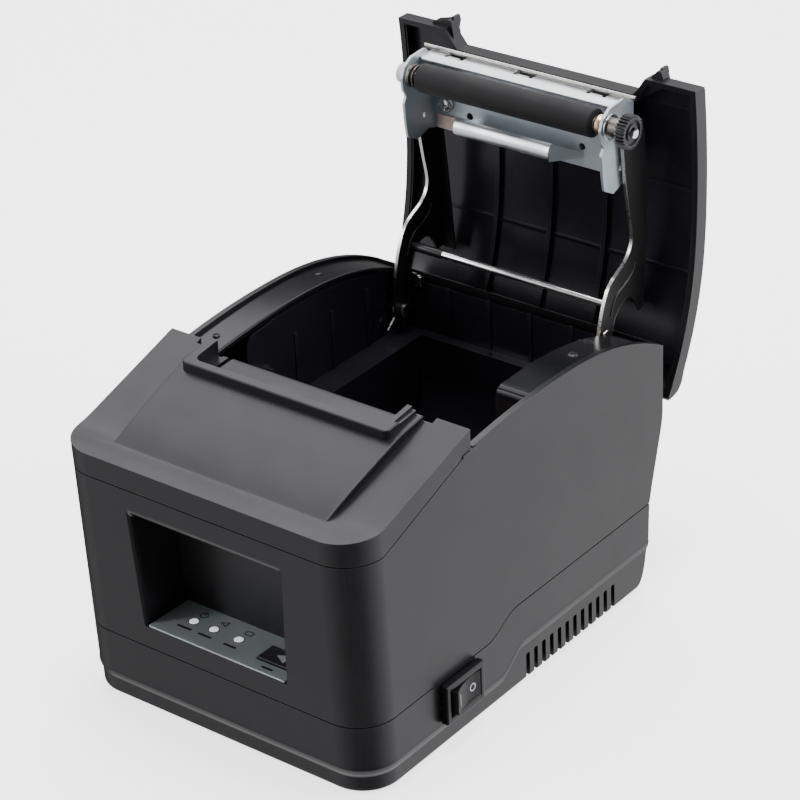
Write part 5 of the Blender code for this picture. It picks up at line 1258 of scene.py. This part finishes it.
# ------------------------------------------------------------- floor and light
def stage():
    me = bpy.data.meshes.new("floor")
    s = 6.0
    me.from_pydata([(-s, -s, 0), (s, -s, 0), (s, s, 0), (-s, s, 0)], [], [[0, 1, 2, 3]])
    fl = bpy.data.objects.new("floor", me)
    bpy.context.scene.collection.objects.link(fl)
    m, nt, b, tc = nodes_of("floor_paper")
    n = noise(nt, tc, 3.0, 3.0)
    c = ramp(nt, n.outputs["Fac"], [(0.2, (0.93, 0.93, 0.935)), (0.8, (0.95, 0.95, 0.95))])
    nt.links.new(c.outputs["Color"], b.inputs["Base Color"])
    b.inputs["Roughness"].default_value = 0.9
    b.inputs["Specular IOR Level"].default_value = 0.1
    eye = nt.nodes.new("ShaderNodeLightPath")
    glow = nt.nodes.new("ShaderNodeMath")
    glow.operation = "MULTIPLY"
    glow.inputs[1].default_value = 2.2
    nt.links.new(eye.outputs["Is Camera Ray"], glow.inputs[0])
    nt.links.new(glow.outputs["Value"], b.inputs["Emission Strength"])
    b.inputs["Emission Color"].default_value = (1.0, 1.0, 1.0, 1)
    me.materials.append(m)

    fl.visible_glossy = False

    # The world lights shiny faces by direction: bright to the rear right, softer to
    # the front left and dark towards the camera, like cards round a product table.
    w = bpy.data.worlds.new("studio")
    bpy.context.scene.world = w
    w.use_nodes = True
    nt = w.node_tree
    bg = nt.nodes.get("Background")
    tc = nt.nodes.new("ShaderNodeTexCoord")
    parts = []
    for way, lo, hi, gain in CARDS:
        dot = nt.nodes.new("ShaderNodeVectorMath")
        dot.operation = "DOT_PRODUCT"
        dot.inputs[1].default_value = Vector(way).normalized()
        nt.links.new(tc.outputs["Generated"], dot.inputs[0])
        mr = nt.nodes.new("ShaderNodeMapRange")
        mr.interpolation_type = "SMOOTHSTEP"
        for k, v in (("From Min", lo), ("From Max", hi), ("To Min", 0.0), ("To Max", gain)):
            mr.inputs[k].default_value = v
        nt.links.new(dot.outputs["Value"], mr.inputs["Value"])
        parts.append(mr.outputs["Result"])
    total = None
    for p in parts:
        ad = nt.nodes.new("ShaderNodeMath")
        ad.operation = "ADD"
        nt.links.new(p, ad.inputs[0])
        if total is None:
            ad.inputs[1].default_value = WORLD
        else:
            nt.links.new(total, ad.inputs[1])
        total = ad.outputs["Value"]
    lp = nt.nodes.new("ShaderNodeLightPath")
    bg2 = nt.nodes.new("ShaderNodeBackground")
    mix = nt.nodes.new("ShaderNodeMixShader")
    bg.inputs["Color"].default_value = (1.0, 1.0, 1.0, 1)
    nt.links.new(total, bg.inputs["Strength"])
    bg2.inputs["Color"].default_value = (0.985, 0.985, 0.99, 1)
    bg2.inputs["Strength"].default_value = BACKDROP
    nt.links.new(lp.outputs["Is Camera Ray"], mix.inputs["Fac"])
    nt.links.new(bg.outputs[0], mix.inputs[1])
    nt.links.new(bg2.outputs[0], mix.inputs[2])
    nt.links.new(mix.outputs[0], nt.nodes.get("World Output").inputs["Surface"])


def area(name, loc, target, size, power, size_y=None):
    li = bpy.data.lights.new(name, "AREA")
    li.energy = power
    li.shape = "RECTANGLE" if size_y else "SQUARE"
    li.size = size
    if size_y:
        li.size_y = size_y
    ob = bpy.data.objects.new(name, li)
    bpy.context.scene.collection.objects.link(ob)
    ob.location = loc
    ob.rotation_euler = (Vector(target) - Vector(loc)).to_track_quat("-Z", "Y").to_euler()
    return ob


WORLD = 0.085
BACKDROP = 5.0
CARDS = [((0.63, 0.78, 0.0), 0.15, 0.95, 1.75), ((-0.63, -0.78, 0.0), 0.35, 1.0, 0.95), ((0.0, 0.0, -1.0), 0.66, 0.95, 2.6)]
stage()
area("top_box", (-0.75, 0.55, 1.25), (0.0, 0.0, 0.08), 1.3, 19.0, 1.1)
area("right_box", (1.35, 0.75, 0.75), (0.0, 0.0, 0.08), 0.9, 16.0, 1.2)
area("left_box", (-0.98, -1.12, 0.92), (0.0, -0.05, 0.08), 0.3, 8.0, 1.0)
area("back_box", (-0.1, 1.5, 1.0), (0.0, 0.05, 0.15), 1.0, 8.0, 0.6)
area("well_box", (0.04, 0.02, 1.5), (0.0, 0.045, 0.05), 0.45, 16.0, 0.45)


def camera():
    f, az, el, roll = 3002.5, math.radians(38.763), math.radians(28.989), math.radians(-2.541)
    dist, tx, ty = 1147.225, 10.873, 35.708
    back = Vector((math.sin(az) * math.cos(el), -math.cos(az) * math.cos(el), math.sin(el)))
    x = Vector((0, 0, 1)).cross(back).normalized()
    y = back.cross(x)
    c, s = math.cos(roll), math.sin(roll)
    x2, y2 = c * x + s * y, -s * x + c * y
    pos = back * dist + x2 * tx + y2 * ty + Vector((0, 0, 60.0 + GROUND))
    cam = bpy.data.cameras.new("camera")
    cam.sensor_width = 36.0
    cam.lens = f / 800.0 * 36.0
    cam.clip_start = 0.05
    cam.clip_end = 50.0
    ob = bpy.data.objects.new("camera", cam)
    bpy.context.scene.collection.objects.link(ob)
    m = Matrix((x2, y2, back)).transposed().to_4x4()
    m.translation = pos * MM
    ob.matrix_world = m
    bpy.context.scene.camera = ob


camera()
